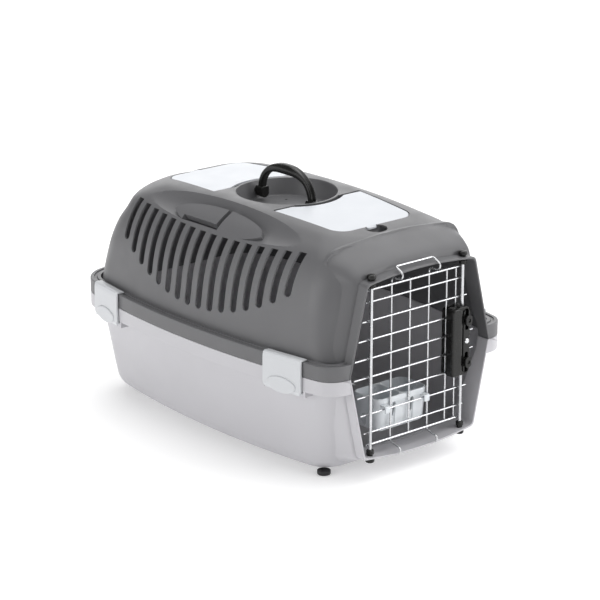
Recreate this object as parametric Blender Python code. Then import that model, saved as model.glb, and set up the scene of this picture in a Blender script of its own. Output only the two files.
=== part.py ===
"""Pet transport carrier: two moulded halves, wire door, latch, clips, lids, handle and hung bowl.

Units below are millimetres; MM turns them into Blender's metres.
+Z is up, the door faces -Y, and the origin is on the floor under the middle of the body.
"""

from math import atan, atan2, cos, pi, radians, sin, sqrt

import bmesh
import bpy
from mathutils import Matrix, Vector

MM = 0.001
GAP = 0.3  # clearance between touching pieces

# ---- driving dimensions ----
WALL = 2.6
RIM_HALF_WIDTH = 200.0
RIM_FRONT, RIM_BACK = -297.0, 305.0
JOIN_Z = 166.0  # where the two halves meet
TOP_BAND, TRAY_BAND = 22.0, 22.0  # heights of the two rim bands
BOW, BOW_REACH = 21.0, 245.0  # the sides pull in by BOW at BOW_REACH from the middle
TRAY_FLOOR_Z = 7.0
DECK_Z = 355.0
DECK_SAG, SAG_REACH = 8.0, 200.0

LIP_Y = -298.0  # front edge of the door collar
COLLAR_WALL = 3.0
OPENING_TOP_Z, OPENING_MID_Z, OPENING_SILL_Z = 296.0, 168.0, 40.0
OPENING_TOP, OPENING_MID, OPENING_SILL = 103.0, 135.0, 106.0  # half widths
ARCH_RISE, SILL_SAG = 7.6, 8.0

VENTS_PER_SIDE, VENT_PITCH, VENT_WIDTH = 16, 25.2, 13.6
VENT_LOW_Z, VENT_LOW_RISE = 210.0, 57.0
VENT_HIGH_Z, VENT_HIGH_RISE = 317.5, 9.0

SCOOP_RADIUS, SCOOP_HALF_LENGTH = 54.5, 306.0
SCOOP_X, SCOOP_Z = 146.3, 375.6
PAD_HALF_LENGTH, PAD_MIDDLE, PAD_LOWER, PAD_UPPER = 101.0, 12.0, 17.0, 25.0

RECESS_RADIUS, RECESS_FLOOR_RADIUS, RECESS_FLOOR_Z = 77.0, 69.0, 328.0
HANDLE_PIVOT_Z, HANDLE_HALF_SPAN, HANDLE_TOP_Z = 341.0, 58.0, 394.0
HANDLE_PIN_RADIUS, HANDLE_PIN_TIP = 3.6, 78.0

LID_INNER_Y, LID_OUTER_Y = 71.0, 203.0
LID_INNER_HALF, LID_OUTER_HALF = 84.0, 73.0
LID_ARC_RADIUS, LID_CORNER = 87.0, 26.0
SEAT_ARC_RADIUS = 80.0  # leaves room for the opened lid beside the recess
LID_THICK, LID_GAP, LID_INNER_GAP = 2.8, 0.9, 3.0
LID_LEDGE = 3.5  # width of the ledge that the lid rests over
LID_AXIS_Y, LID_AXIS_Z = 75.5, 350.4
LID_PEG_RADIUS, LID_PEG_LENGTH = 1.4, 2.0
EAR_ROOM_X = (-10.5, 1.4)  # room round each lid ear, from the lid's side edge
EAR_ROOM_Y = (-7.2, 6.0)  # and from the lid's axis, so that its inner edge can swing down
EAR_ROOM_Z = (-7.0, 1.0)
WELL_DEPTH = 27.0

HINGE_X, ROD_Y, ROD_RADIUS = 89.0, -288.0, 2.5
WIRE_RADIUS, EDGE_WIRE_RADIUS = 1.4, 1.8
CROSS_WIRE_Y, UPRIGHT_Y = -283.4, -281.2
EDGE_WIRE_Z = (52.4, 285.4)
CROSS_WIRE_Z = tuple(71.0 + 28.07 * step for step in range(8))
UPRIGHT_X = (-82.5, -8.3, 63.8, 82.2)  # BAIL_X holds the other two
BAIL_X = (-44.3, 28.4)
STUB_INSET = 14.5

LATCH_Z, LATCH_HEIGHT = 174.5, 105.0
LATCH_X0, LATCH_X1 = 60.0, 96.0
LATCH_Y0, LATCH_Y1 = -300.5, -285.3
LATCH_CORNER, RIVET_HOLE = 6.0, 2.3  # radii
PLATE_Y0 = UPRIGHT_Y + WIRE_RADIUS + GAP
PLATE_Y1 = PLATE_Y0 + 3.0

CLIP_Y, CLIP_LENGTH = 209.0, 72.0
CLIP_PIVOT_IN, CLIP_PIVOT_Z = 4.0, 139.5
PEG_RADIUS, PEG_LENGTH = 1.8, 3.4

FOOT_RADIUS = 10.0
FOOT_PLACES = {"front": (124.0, -228.0), "rear": (104.0, 222.0)}

BOWL_X, BOWL_Y, BOWL_Z = (-67.0, 34.0), (-279.4, -221.0), (61.5, 113.0)

RING_SIDE, RING_CORNER, RING_END = 9, 6, 3  # points along a plan outline


def look(name, colour, roughness, metallic=0.0, alpha=1.0):
    """Principled material; colour is linear RGB."""
    material = bpy.data.materials.new(name)
    material.use_nodes = True
    shader = material.node_tree.nodes["Principled BSDF"]
    shader.inputs["Base Color"].default_value = (*colour, 1.0)
    shader.inputs["Roughness"].default_value = roughness
    shader.inputs["Metallic"].default_value = metallic
    shader.inputs["Alpha"].default_value = alpha
    return material


def make_looks():
    return {
        "shell": look("dark_grey_polypropylene", (0.13, 0.13, 0.135), 0.45),
        "tray": look("light_grey_polypropylene", (0.55, 0.55, 0.57), 0.45),
        "clip": look("pale_grey_polypropylene", (0.66, 0.67, 0.70), 0.4),
        "lid": look("white_polypropylene", (0.85, 0.87, 0.90), 0.4),
        "black": look("black_nylon", (0.018, 0.018, 0.018), 0.35),
        "wire": look("zinc_plated_steel", (0.75, 0.75, 0.76), 0.25, 1.0),
        "foot": look("dark_rubber", (0.05, 0.05, 0.055), 0.7),
        "bowl": look("milky_polypropylene", (0.80, 0.84, 0.88), 0.3, 0.0, 0.75),
    }


# ---- mesh helpers (all take millimetres) ----


def object_from(bm, name, material=None):
    """Scales a bmesh in millimetres to metres and makes it a scene object."""
    bmesh.ops.recalc_face_normals(bm, faces=bm.faces)
    bmesh.ops.scale(bm, vec=(MM, MM, MM), verts=bm.verts)
    mesh = bpy.data.meshes.new(name)
    bm.to_mesh(mesh)
    bm.free()
    made = bpy.data.objects.new(name, mesh)
    bpy.context.scene.collection.objects.link(made)
    if material:
        mesh.materials.append(material)
    return made


def loft(rings, name, material=None, looped=False):
    """Joins closed rings of equal length; the two ends are filled unless the rings form a loop."""
    bm = bmesh.new()
    rows = [[bm.verts.new(point) for point in ring] for ring in rings]
    count = len(rows[0])
    pairs = list(zip(rows, rows[1:]))
    if looped:
        pairs.append((rows[-1], rows[0]))
    for low, high in pairs:
        for i in range(count):
            j = (i + 1) % count
            bm.faces.new((low[i], low[j], high[j], high[i]))
    if not looped:
        bm.faces.new(rows[0][::-1])
        bm.faces.new(rows[-1])
    return object_from(bm, name, material)


def prism(points, direction, start, end, name, material=None):
    """Extrudes an outline of (a, b) points along X, Y or Z from start to end."""
    place = {
        "X": lambda a, b, t: Vector((t, a, b)),
        "Y": lambda a, b, t: Vector((a, t, b)),
        "Z": lambda a, b, t: Vector((a, b, t)),
    }[direction]
    rings = [[place(a, b, t) for a, b in points] for t in (start, end)]
    return loft(rings, name, material)


def box(low, high, name, material=None):
    outline = [(low[0], low[1]), (high[0], low[1]), (high[0], high[1]), (low[0], high[1])]
    return prism(outline, "Z", low[2], high[2], name, material)


def circle(radius, centre=(0.0, 0.0), count=24):
    steps = (2 * pi * i / count for i in range(count))
    return [(centre[0] + radius * cos(a), centre[1] + radius * sin(a)) for a in steps]


def rounded(corners, radius, steps=4):
    """Rounds each corner of an outline; radius is one number or one for each corner."""
    radii = radius if isinstance(radius, (list, tuple)) else [radius] * len(corners)
    points = []
    for i, corner in enumerate(corners):
        here = Vector(corner)
        before = (Vector(corners[i - 1]) - here).normalized()
        after = (Vector(corners[(i + 1) % len(corners)]) - here).normalized()
        half = before.angle(after) / 2
        if radii[i] <= 0 or half > pi / 2 - 0.02:
            points.append(tuple(here))
            continue
        centre = here + (before + after).normalized() * radii[i] / sin(half)
        reach = radii[i] / (sin(half) / cos(half))
        start = here + before * reach - centre
        end = here + after * reach - centre
        sweep = start.angle_signed(end)
        for step in range(steps + 1):
            turn = Matrix.Rotation(-sweep * step / steps, 2)
            points.append(tuple(centre + turn @ start))
    return points


def tube(path, radius, name, material=None, sides=8):
    """Round wire along a list of points, filled at both ends."""
    curve = bpy.data.curves.new(name, "CURVE")
    curve.dimensions = "3D"
    curve.bevel_depth = radius * MM
    curve.bevel_resolution = max(sides // 2 - 2, 0)
    curve.use_fill_caps = True
    spline = curve.splines.new("POLY")
    spline.points.add(len(path) - 1)
    for point, place in zip(spline.points, path):
        point.co = (*(Vector(place) * MM), 1.0)
    made = bpy.data.objects.new(name, curve)
    bpy.context.scene.collection.objects.link(made)
    return as_mesh(made, name, material)


def as_mesh(source, name, material=None):
    """Swaps an object for its evaluated mesh, with any doubled points merged."""
    bpy.context.view_layer.update()
    graph = bpy.context.evaluated_depsgraph_get()
    mesh = bpy.data.meshes.new_from_object(source.evaluated_get(graph))
    bm = bmesh.new()
    bm.from_mesh(mesh)
    bmesh.ops.remove_doubles(bm, verts=bm.verts, dist=1e-7)
    bm.to_mesh(mesh)
    bm.free()
    bpy.data.objects.remove(source)
    made = bpy.data.objects.new(name, mesh)
    bpy.context.scene.collection.objects.link(made)
    if material:
        mesh.materials.clear()
        mesh.materials.append(material)
    return made


def combine(target, others, operation):
    """Applies one Boolean for each of the others, which are then removed.

    The solver is MANIFOLD, because EXACT leaves open edges where the rims share a plane.
    """
    for other in others:
        step = target.modifiers.new("combine", "BOOLEAN")
        step.operation = operation
        step.solver = "MANIFOLD"
        step.object = other
        bpy.context.view_layer.update()
        graph = bpy.context.evaluated_depsgraph_get()
        mesh = bpy.data.meshes.new_from_object(target.evaluated_get(graph))
        target.modifiers.clear()
        materials = list(target.data.materials)
        target.data = mesh
        mesh.materials.clear()
        for material in materials:
            mesh.materials.append(material)
        bpy.data.objects.remove(other)
    return target


def join(parts, name):
    """One object that holds the meshes of several, which must not touch each other."""
    bm = bmesh.new()
    for part in parts:
        part.data.transform(part.matrix_world)
        bm.from_mesh(part.data)
        bpy.data.objects.remove(part)
    mesh = bpy.data.meshes.new(name)
    bm.to_mesh(mesh)
    bm.free()
    made = bpy.data.objects.new(name, mesh)
    bpy.context.scene.collection.objects.link(made)
    return made


def smooth(target, angle=32.0):
    """Shades a piece smooth, but keeps its edges sharper than the angle crisp."""
    bm = bmesh.new()
    bm.from_mesh(target.data)
    for face in bm.faces:
        face.smooth = True
    for edge in bm.edges:
        edge.smooth = len(edge.link_faces) == 2 and edge.calc_face_angle(pi) < radians(angle)
    bm.to_mesh(target.data)
    bm.free()


def set_origin(target, place):
    """Moves an object's origin to a place in millimetres, and leaves its mesh where it is."""
    offset = Vector(place) * MM
    target.data.transform(Matrix.Translation(-offset))
    target.location = offset


# ---- plan outlines of the body ----


def plan_half(half_width, front, back, front_radius, back_radius):
    """Right half of the barrel-shaped plan, from the front middle to the back middle."""

    def side_x(y):
        return half_width - BOW * (y / BOW_REACH) ** 2

    def side_turn(y):
        return atan(2 * BOW * abs(y) / BOW_REACH**2)

    low, high = front + front_radius, back - back_radius
    low_turn = side_turn(low - front_radius * sin(side_turn(low)))
    high_turn = side_turn(high + back_radius * sin(side_turn(high)))
    start, end = low - front_radius * sin(low_turn), high + back_radius * sin(high_turn)
    low_x = side_x(start) - front_radius * cos(low_turn)
    high_x = side_x(end) - back_radius * cos(high_turn)
    points = [(low_x * step / RING_END, front) for step in range(RING_END)]
    for step in range(RING_CORNER + 1):
        turn = pi / 2 + (low_turn - pi / 2) * step / RING_CORNER
        points.append((low_x + front_radius * cos(turn), low - front_radius * sin(turn)))
    for step in range(1, RING_SIDE):
        y = start + (end - start) * step / RING_SIDE
        points.append((side_x(y), y))
    for step in range(RING_CORNER + 1):
        turn = high_turn + (pi / 2 - high_turn) * step / RING_CORNER
        points.append((high_x + back_radius * cos(turn), high + back_radius * sin(turn)))
    points += [(high_x * (1 - step / RING_END), back) for step in range(1, RING_END + 1)]
    return points


def plan_ring(z, half_width, front, back, front_radius, back_radius, sag=0.0):
    right = plan_half(half_width, front, back, front_radius, back_radius)
    left = [(-x, y) for x, y in right[-2:0:-1]]
    return [Vector((x, y, z - sag * (y / SAG_REACH) ** 2)) for x, y in right + left]


def shrunk(level, by):
    """The same level drawn in by a wall thickness on every side."""
    z, half_width, front, back, front_radius, back_radius, *sag = level
    return (
        z,
        half_width - by,
        front + by,
        back - by,
        max(front_radius - by, 4.0),
        max(back_radius - by, 4.0),
        *sag,
    )


# level: z, half width, front y, back y, front corner radius, back corner radius, sag
TOP_LEVELS = (
    (186.0, 185.0, -282.0, 287.0, 44.0, 60.0),
    (206.0, 183.5, -277.0, 283.0, 48.0, 62.0),
    (232.0, 180.0, -274.0, 278.0, 51.0, 64.0),
    (262.0, 175.0, -273.0, 270.0, 53.0, 66.0),
    (286.0, 168.0, -272.5, 261.0, 55.0, 68.0),
    (304.0, 159.5, -271.0, 251.0, 56.0, 68.0),
    (320.0, 148.5, -267.0, 240.0, 57.0, 68.0),
    (333.0, 134.5, -258.5, 227.0, 57.0, 68.0, 1.0),
    (343.0, 118.0, -246.0, 212.0, 56.0, 66.0, 3.0),
    (349.5, 104.0, -232.0, 197.0, 54.0, 58.0, 5.0),
    (353.0, 91.0, -216.0, 182.0, 48.0, 48.0, 6.5),
    (DECK_Z, 60.0, -180.0, 150.0, 30.0, 30.0, DECK_SAG),
)
TRAY_LEVELS = (
    (TRAY_FLOOR_Z, 138.0, -226.0, 262.0, 34.0, 46.0),
    (9.5, 147.0, -237.0, 270.0, 38.0, 50.0),
    (15.0, 154.5, -246.0, 277.0, 42.0, 54.0),
    (24.0, 160.0, -253.0, 281.0, 44.0, 57.0),
    (40.0, 164.0, -258.0, 283.0, 45.0, 58.0),
    (80.0, 171.5, -266.0, 286.0, 45.0, 59.0),
    (120.0, 179.0, -275.0, 289.0, 44.0, 60.0),
    (148.0, 184.5, -281.5, 290.5, 44.0, 60.0),
)
RIM_LEVEL = (0.0, RIM_HALF_WIDTH, RIM_FRONT, RIM_BACK, 34.0, 64.0)


def at_height(level, z):
    return plan_ring(z, *level[1:])


def rim_band(low, high, name):
    """Skirt and ledge of one rim, open underneath; it overlaps the body wall."""
    inside = shrunk(RIM_LEVEL, 16.5)
    skirt = shrunk(RIM_LEVEL, WALL)
    channel = shrunk(RIM_LEVEL, 13.6)
    edge = shrunk(RIM_LEVEL, 0.9)
    rings = [
        at_height(inside, low),
        at_height(inside, high),
        at_height(edge, high),
        at_height(RIM_LEVEL, high - 1.2),
        at_height(RIM_LEVEL, low),
        at_height(skirt, low),
        at_height(skirt, high - WALL),
        at_height(channel, high - WALL),
        at_height(channel, low),
    ]
    return loft(rings, name, looped=True)


# ---- door opening ----


def opening_half_width(z):
    if z > OPENING_MID_Z:
        share = (z - OPENING_MID_Z) / (OPENING_TOP_Z - OPENING_MID_Z)
        return OPENING_MID + (OPENING_TOP - OPENING_MID) * share
    share = (OPENING_MID_Z - z) / (OPENING_MID_Z - OPENING_SILL_Z)
    return OPENING_MID + (OPENING_SILL - OPENING_MID) * share


def opening_outline(grow=0.0):
    """The six-sided door opening in (x, z), with a bowed top and sill."""
    corners = [
        (0.0, OPENING_SILL_Z - SILL_SAG - grow),
        (OPENING_SILL * 0.5, OPENING_SILL_Z - SILL_SAG * 0.75 - grow),
        (OPENING_SILL + grow, OPENING_SILL_Z - grow),
        (OPENING_MID + grow, OPENING_MID_Z),
        (OPENING_TOP + grow, OPENING_TOP_Z + grow),
        (OPENING_TOP * 0.5, OPENING_TOP_Z + ARCH_RISE * 0.75 + grow),
        (0.0, OPENING_TOP_Z + ARCH_RISE + grow),
    ]
    left = [(-x, z) for x, z in corners[-2:0:-1]]
    radii = [0.0, 0.0, 9.0, 12.0, 9.0, 0.0, 0.0]
    return rounded(corners + left, radii + radii[-2:0:-1], steps=3)


def collar(low, high, name):
    """The part of the door collar between two heights."""
    tube_outer = prism(opening_outline(COLLAR_WALL), "Y", LIP_Y, -258.0, name)
    slab = box((-260, LIP_Y - 5, low), (260, -200, high), "slab")
    return combine(tube_outer, [slab], "INTERSECT")


def door_cut():
    return prism(opening_outline(), "Y", LIP_Y - 20, -235.0, "door_cut")


# ---- top shell ----


def scoop(side, grow, name):
    """Long concave lens cut along one upper side."""
    bm = bmesh.new()
    bmesh.ops.create_uvsphere(bm, u_segments=28, v_segments=24, radius=1.0)
    bmesh.ops.rotate(bm, cent=(0, 0, 0), matrix=Matrix.Rotation(pi / 2, 3, "X"), verts=bm.verts)
    size = (SCOOP_RADIUS + grow, SCOOP_HALF_LENGTH + grow, SCOOP_RADIUS + grow)
    bmesh.ops.scale(bm, vec=size, verts=bm.verts)
    bmesh.ops.translate(bm, vec=(side * SCOOP_X, 0, SCOOP_Z), verts=bm.verts)
    return object_from(bm, name)


def lid_outline(side, grow=0.0, inner_grow=0.0, radius=LID_ARC_RADIUS):
    """Outline of a lid in (x, y) for side -1 (front) or +1 (rear); the inner edge follows the recess."""
    inner = LID_INNER_Y - inner_grow
    outer = LID_OUTER_Y + grow
    reach = sqrt(radius**2 - inner**2)
    corners = [
        (LID_INNER_HALF + grow, inner),
        (LID_OUTER_HALF + grow, outer),
    ]
    right = rounded([(0, outer), *corners[::-1], (0, inner)], [0, LID_CORNER, 3.0, 0], steps=6)[1:-1]
    spread = atan2(reach, inner)
    arc = [
        (radius * sin(spread * (1 - step / 6)), radius * cos(spread * (1 - step / 6)))
        for step in range(7)
    ]
    half = right + arc
    left = [(-x, y) for x, y in half[-2::-1]]
    return [(x, side * y) for x, y in half + left]


def deck_z(y):
    return DECK_Z - DECK_SAG * (y / SAG_REACH) ** 2


def sloped_prism(outline, top, bottom, name, material=None):
    """Upright prism whose top and bottom follow the sag of the deck."""
    rings = [
        [Vector((x, y, level + deck_z(y) - DECK_Z)) for x, y in outline] for level in (bottom, top)
    ]
    return loft(rings, name, material)


def recess(grow, floor, top, name):
    rings = [
        [Vector((x, y, z)) for x, y in circle(radius + grow, count=48)]
        for radius, z in (
            (RECESS_FLOOR_RADIUS - 6, floor),
            (RECESS_FLOOR_RADIUS, floor + 3),
            (RECESS_RADIUS, top),
        )
    ]
    return loft(rings, name)


def vent_cut(side, y):
    reach = (y / (VENT_PITCH * (VENTS_PER_SIDE - 1) / 2)) ** 2
    low = VENT_LOW_Z + VENT_LOW_RISE * reach
    high = VENT_HIGH_Z + VENT_HIGH_RISE * reach
    half = VENT_WIDTH / 2
    bottom = [
        (y + half * cos(pi + pi * step / 6), low + half + half * sin(pi + pi * step / 6))
        for step in range(7)
    ]
    outline = bottom + [(y + half, high), (y - half, high)]
    ends = sorted((side * 116.0, side * 215.0))
    return prism(outline, "X", *ends, "vent")


def bridge_frame(side):
    """Matrix, in millimetres, whose X runs down the scoop, Y along the body and Z out of the dome."""
    tilt = Matrix.Rotation(side * radians(31), 4, "Y")
    mirror = Matrix.Rotation(0 if side > 0 else pi, 4, "Z")
    return Matrix.Translation((side * 122.0, 0.0, 334.0)) @ tilt @ mirror


def belt_pad(side):
    """Leaf-shaped block taken out of the scoop's cutter, so that a pad for a seat belt stays."""
    leaf = []
    for step in range(13):
        share = -1 + step / 6
        leaf.append((PAD_MIDDLE + PAD_LOWER * (1 - share**4), share * PAD_HALF_LENGTH))
    for step in range(1, 12):
        share = 1 - step / 6
        leaf.append((PAD_MIDDLE - PAD_UPPER * sqrt(1 - share**2), share * PAD_HALF_LENGTH))
    return moved(prism(leaf, "Z", -30, 60, "pad"), bridge_frame(side))


def belt_slots(side):
    """The slot along the pad's lower edge and the one across it, where the belt goes in."""
    spans = {"lengthwise": ((19.0, 24.0), (-70.0, 6.0)), "across": ((-16.0, 24.0), (5.0, 12.0))}
    slots = []
    for name, (down, along) in spans.items():
        slots.append(box((down[0], along[0], -6.0), (down[1], along[1], 40.0), name))
    return [moved(slot, bridge_frame(side)) for slot in slots]


def build_top_shell(looks):
    dome = [plan_ring(*level) for level in TOP_LEVELS]
    shell = loft([at_height(TOP_LEVELS[0], JOIN_Z + GAP)] + dome, "top_shell", looks["shell"])
    hollow = [plan_ring(*shrunk(level, WALL)) for level in TOP_LEVELS]
    for ring in hollow[1:]:
        for point in ring:
            point.z -= WALL * min(1.0, max(0.0, (point.z - 230.0) / 110.0))
    void = loft([at_height(shrunk(TOP_LEVELS[0], WALL), JOIN_Z - 20)] + hollow, "void")

    wells = (-1, 1)
    pockets = [
        sloped_prism(
            lid_outline(side, LID_GAP + WALL, LID_INNER_GAP + WALL, SEAT_ARC_RADIUS - WALL),
            DECK_Z + 5,
            DECK_Z - WELL_DEPTH - WALL,
            "pocket",
        )
        for side in wells
    ]
    pockets.append(recess(WALL, RECESS_FLOOR_Z - WALL, DECK_Z + 3, "pocket"))
    pockets += [scoop(side, WALL, "scoop_skin") for side in (-1, 1)]
    void = combine(void, pockets, "DIFFERENCE")

    scoops = [combine(scoop(side, 0.0, "scoop"), [belt_pad(side)], "DIFFERENCE") for side in (-1, 1)]
    shell = combine(shell, scoops, "DIFFERENCE")
    shell = combine(shell, [rim_band(JOIN_Z + GAP, JOIN_Z + TOP_BAND, "band")], "UNION")
    shell = combine(shell, [collar(JOIN_Z + GAP, 330.0, "collar")], "UNION")
    shell = combine(shell, [void], "DIFFERENCE")

    cuts = [door_cut(), recess(0.0, RECESS_FLOOR_Z, DECK_Z + 3, "recess")]
    cuts += belt_slots(-1) + belt_slots(1)
    seat_floor = DECK_Z - LID_THICK - 1.2
    for side in wells:
        seat, well = (
            lid_outline(side, grow, LID_INNER_GAP, SEAT_ARC_RADIUS) for grow in (LID_GAP, -LID_LEDGE)
        )
        cuts.append(sloped_prism(seat, DECK_Z + 5, seat_floor, "lid_seat"))
        cuts.append(sloped_prism(well, DECK_Z, DECK_Z - WELL_DEPTH, "well"))
        for end in (-1, 1):
            pegs = circle(LID_PEG_RADIUS + GAP, (side * LID_AXIS_Y, LID_AXIS_Z), 12)
            span = sorted((end * (LID_INNER_HALF - 4), end * (LID_INNER_HALF + LID_PEG_LENGTH + 0.4)))
            cuts.append(prism(pegs, "X", *span, "peg_hole"))
            x_near, x_far = sorted(end * (LID_INNER_HALF + reach) for reach in EAR_ROOM_X)
            y_near, y_far = sorted(side * (LID_AXIS_Y + reach) for reach in EAR_ROOM_Y)
            z_near, z_far = (LID_AXIS_Z + reach for reach in EAR_ROOM_Z)
            cuts.append(box((x_near, y_near, z_near), (x_far, y_far, z_far), "ear_room"))
        pin = circle(HANDLE_PIN_RADIUS + GAP, (0.0, HANDLE_PIVOT_Z), 16)
        span = sorted((side * 66.0, side * (HANDLE_PIN_TIP + 0.6)))
        cuts.append(prism(pin, "Y", *span, "pin_hole"))
    first = VENT_PITCH * (VENTS_PER_SIDE - 1) / 2
    vents = [
        vent_cut(side, first - VENT_PITCH * number)
        for side in (-1, 1)
        for number in range(VENTS_PER_SIDE)
    ]
    cuts.append(join(vents, "vents"))
    for x in (-HINGE_X, HINGE_X):
        cuts.append(prism(circle(4.5, (x, ROD_Y), 16), "Z", 285, 320, "bushing_hole"))
    return combine(shell, cuts, "DIFFERENCE")


# ---- bottom tray ----


def clip_frame(end, side):
    """Matrix from a clip's own frame (x outward from the rim, y along it) to the body, in mm."""
    y = end * CLIP_Y
    half_width = RIM_HALF_WIDTH - BOW * (y / BOW_REACH) ** 2
    turn = atan(2 * BOW * y / BOW_REACH**2)
    mirror = Matrix.Rotation(0 if side > 0 else pi, 4, "Z")
    heading = Matrix.Rotation(side * turn, 4, "Z")
    return Matrix.Translation((side * half_width, y, 0)) @ heading @ mirror


def moved(target, matrix):
    """Applies a matrix in millimetres to a mesh in metres."""
    scaled = matrix.copy()
    scaled.translation = matrix.translation * MM
    target.data.transform(scaled)
    return target


def build_tray(looks):
    rings = [plan_ring(*level) for level in TRAY_LEVELS]
    tray = loft(rings + [at_height(TRAY_LEVELS[-1], JOIN_Z - GAP)], "bottom_tray", looks["tray"])
    tray = combine(tray, [rim_band(JOIN_Z - TRAY_BAND, JOIN_Z - GAP, "band")], "UNION")
    tray = combine(tray, [collar(0.0, JOIN_Z - GAP, "collar")], "UNION")
    lugs = []
    for end in (-1, 1):
        for side in (-1, 1):
            for tip in (-1, 1):
                near, far = sorted((tip * (CLIP_LENGTH / 2 + 0.5), tip * (CLIP_LENGTH / 2 + 5.0)))
                lug = box((-20.5, near, CLIP_PIVOT_Z - 4), (-0.6, far, CLIP_PIVOT_Z + 7), "lug")
                lugs.append(moved(lug, clip_frame(end, side)))
    tray = combine(tray, lugs, "UNION")
    hollow = [plan_ring(*shrunk(level, WALL)) for level in TRAY_LEVELS]
    for ring in hollow:
        for point in ring:
            point.z += WALL * max(0.0, 1.0 - (point.z - TRAY_FLOOR_Z) / 40.0)
    void = loft(hollow + [at_height(shrunk(TRAY_LEVELS[-1], WALL), JOIN_Z + 20)], "void")
    cuts = [void, door_cut()]
    for end in (-1, 1):
        for side in (-1, 1):
            peg = circle(PEG_RADIUS + GAP, (-CLIP_PIVOT_IN, CLIP_PIVOT_Z), 12)
            for tip in (-1, 1):
                span = sorted((tip * (CLIP_LENGTH / 2 - 1), tip * (CLIP_LENGTH / 2 + PEG_LENGTH + 0.8)))
                cuts.append(moved(prism(peg, "Y", *span, "socket"), clip_frame(end, side)))
    for x in (-HINGE_X, HINGE_X):
        cuts.append(prism(circle(4.5, (x, ROD_Y), 16), "Z", 20, 50, "bushing_hole"))
    return combine(tray, cuts, "DIFFERENCE")


def build_feet(looks):
    profile = [(FOOT_RADIUS - 1.5, 0), (FOOT_RADIUS, 1.5), (FOOT_RADIUS, TRAY_FLOOR_Z - GAP)]
    for where, (foot_x, foot_y) in FOOT_PLACES.items():
        for side, hand in ((-1, "left"), (1, "right")):
            rings = [[Vector((x, y, z)) for x, y in circle(radius, count=20)] for radius, z in profile]
            foot = loft(rings, f"foot_{where}_{hand}", looks["foot"])
            foot.location = Vector((side * foot_x, foot_y, 0)) * MM


# ---- clips, lids and handle ----


def build_clips(looks):
    reach = 10.0
    top = JOIN_Z + TOP_BAND + 0.5
    profile = [
        (-reach, top),
        (0.7, top),
        (0.7, 143.0),
        (-2.0, 140.5),
        (-2.0, 138.5),
        (2.2, 136.5),
        (4.2, 142.0),
        (3.8, 186.0),
        (2.8, 189.6),
        (0.0, top + 2.6),
        (-reach, top + 1.8),
    ]
    for end, where in ((-1, "front"), (1, "rear")):
        for side, hand in ((-1, "left"), (1, "right")):
            name = f"clip_{where}_{hand}"
            half = CLIP_LENGTH / 2
            clip = prism(profile, "Y", -half, half, name, looks["clip"])
            centre = (-CLIP_PIVOT_IN, CLIP_PIVOT_Z)
            barrel = prism(circle(3.0, centre, 14), "Y", -half, half, "barrel")
            pegs = prism(circle(PEG_RADIUS, centre, 12), "Y", -half - PEG_LENGTH, half + PEG_LENGTH, "pegs")
            thumb = prism([(0.62 * y, z) for y, z in circle(24, (0, 0), 24)], "X", 3.0, 6.0, "thumb")
            thumb.data.transform(Matrix.Diagonal((1, 1.15, 0.36, 1)))
            thumb.data.transform(Matrix.Translation((0, 0, 0.1455)))
            clip = combine(clip, [barrel, pegs, thumb], "UNION")
            clip.matrix_world = placed(clip_frame(end, side), clip, (-CLIP_PIVOT_IN, 0, CLIP_PIVOT_Z))


def placed(frame, target, pivot):
    """Puts the mesh's pivot at the object's origin and gives the matrix that puts it back on the body."""
    target.data.transform(Matrix.Translation(-Vector(pivot) * MM))
    whole = frame @ Matrix.Translation(pivot)
    whole.translation *= MM
    return whole


def build_lids(looks):
    for side, name in ((-1, "lid_front"), (1, "lid_rear")):
        top = DECK_Z - 0.2
        lid = sloped_prism(lid_outline(side), top, top - LID_THICK, name, looks["lid"])
        shaft = circle(LID_PEG_RADIUS, (side * LID_AXIS_Y, LID_AXIS_Z), 12)
        ears = []
        for end in (-1, 1):
            near, far = sorted((end * (LID_INNER_HALF - 9.0), end * (LID_INNER_HALF - 1.0)))
            y_near, y_far = sorted((side * (LID_AXIS_Y - 3.0), side * (LID_AXIS_Y + 3.0)))
            ears.append(box((near, y_near, LID_AXIS_Z - 2.2), (far, y_far, DECK_Z - 2.6), "ear"))
            span = sorted((end * (LID_INNER_HALF - 5.0), end * (LID_INNER_HALF + LID_PEG_LENGTH)))
            ears.append(prism(shaft, "X", *span, "peg"))
        lid = combine(lid, ears, "UNION")
        set_origin(lid, (0, side * LID_AXIS_Y, LID_AXIS_Z))


def handle_section(share):
    """Half width and half thickness of the handle along its arch, share 0 at one foot and 1 at the other."""
    grip = max(0.0, 1 - abs(share - 0.5) / 0.27)
    grip = grip * grip * (3 - 2 * grip)
    return 6.0 + 3.0 * grip, 4.6 + 3.4 * grip


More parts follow.
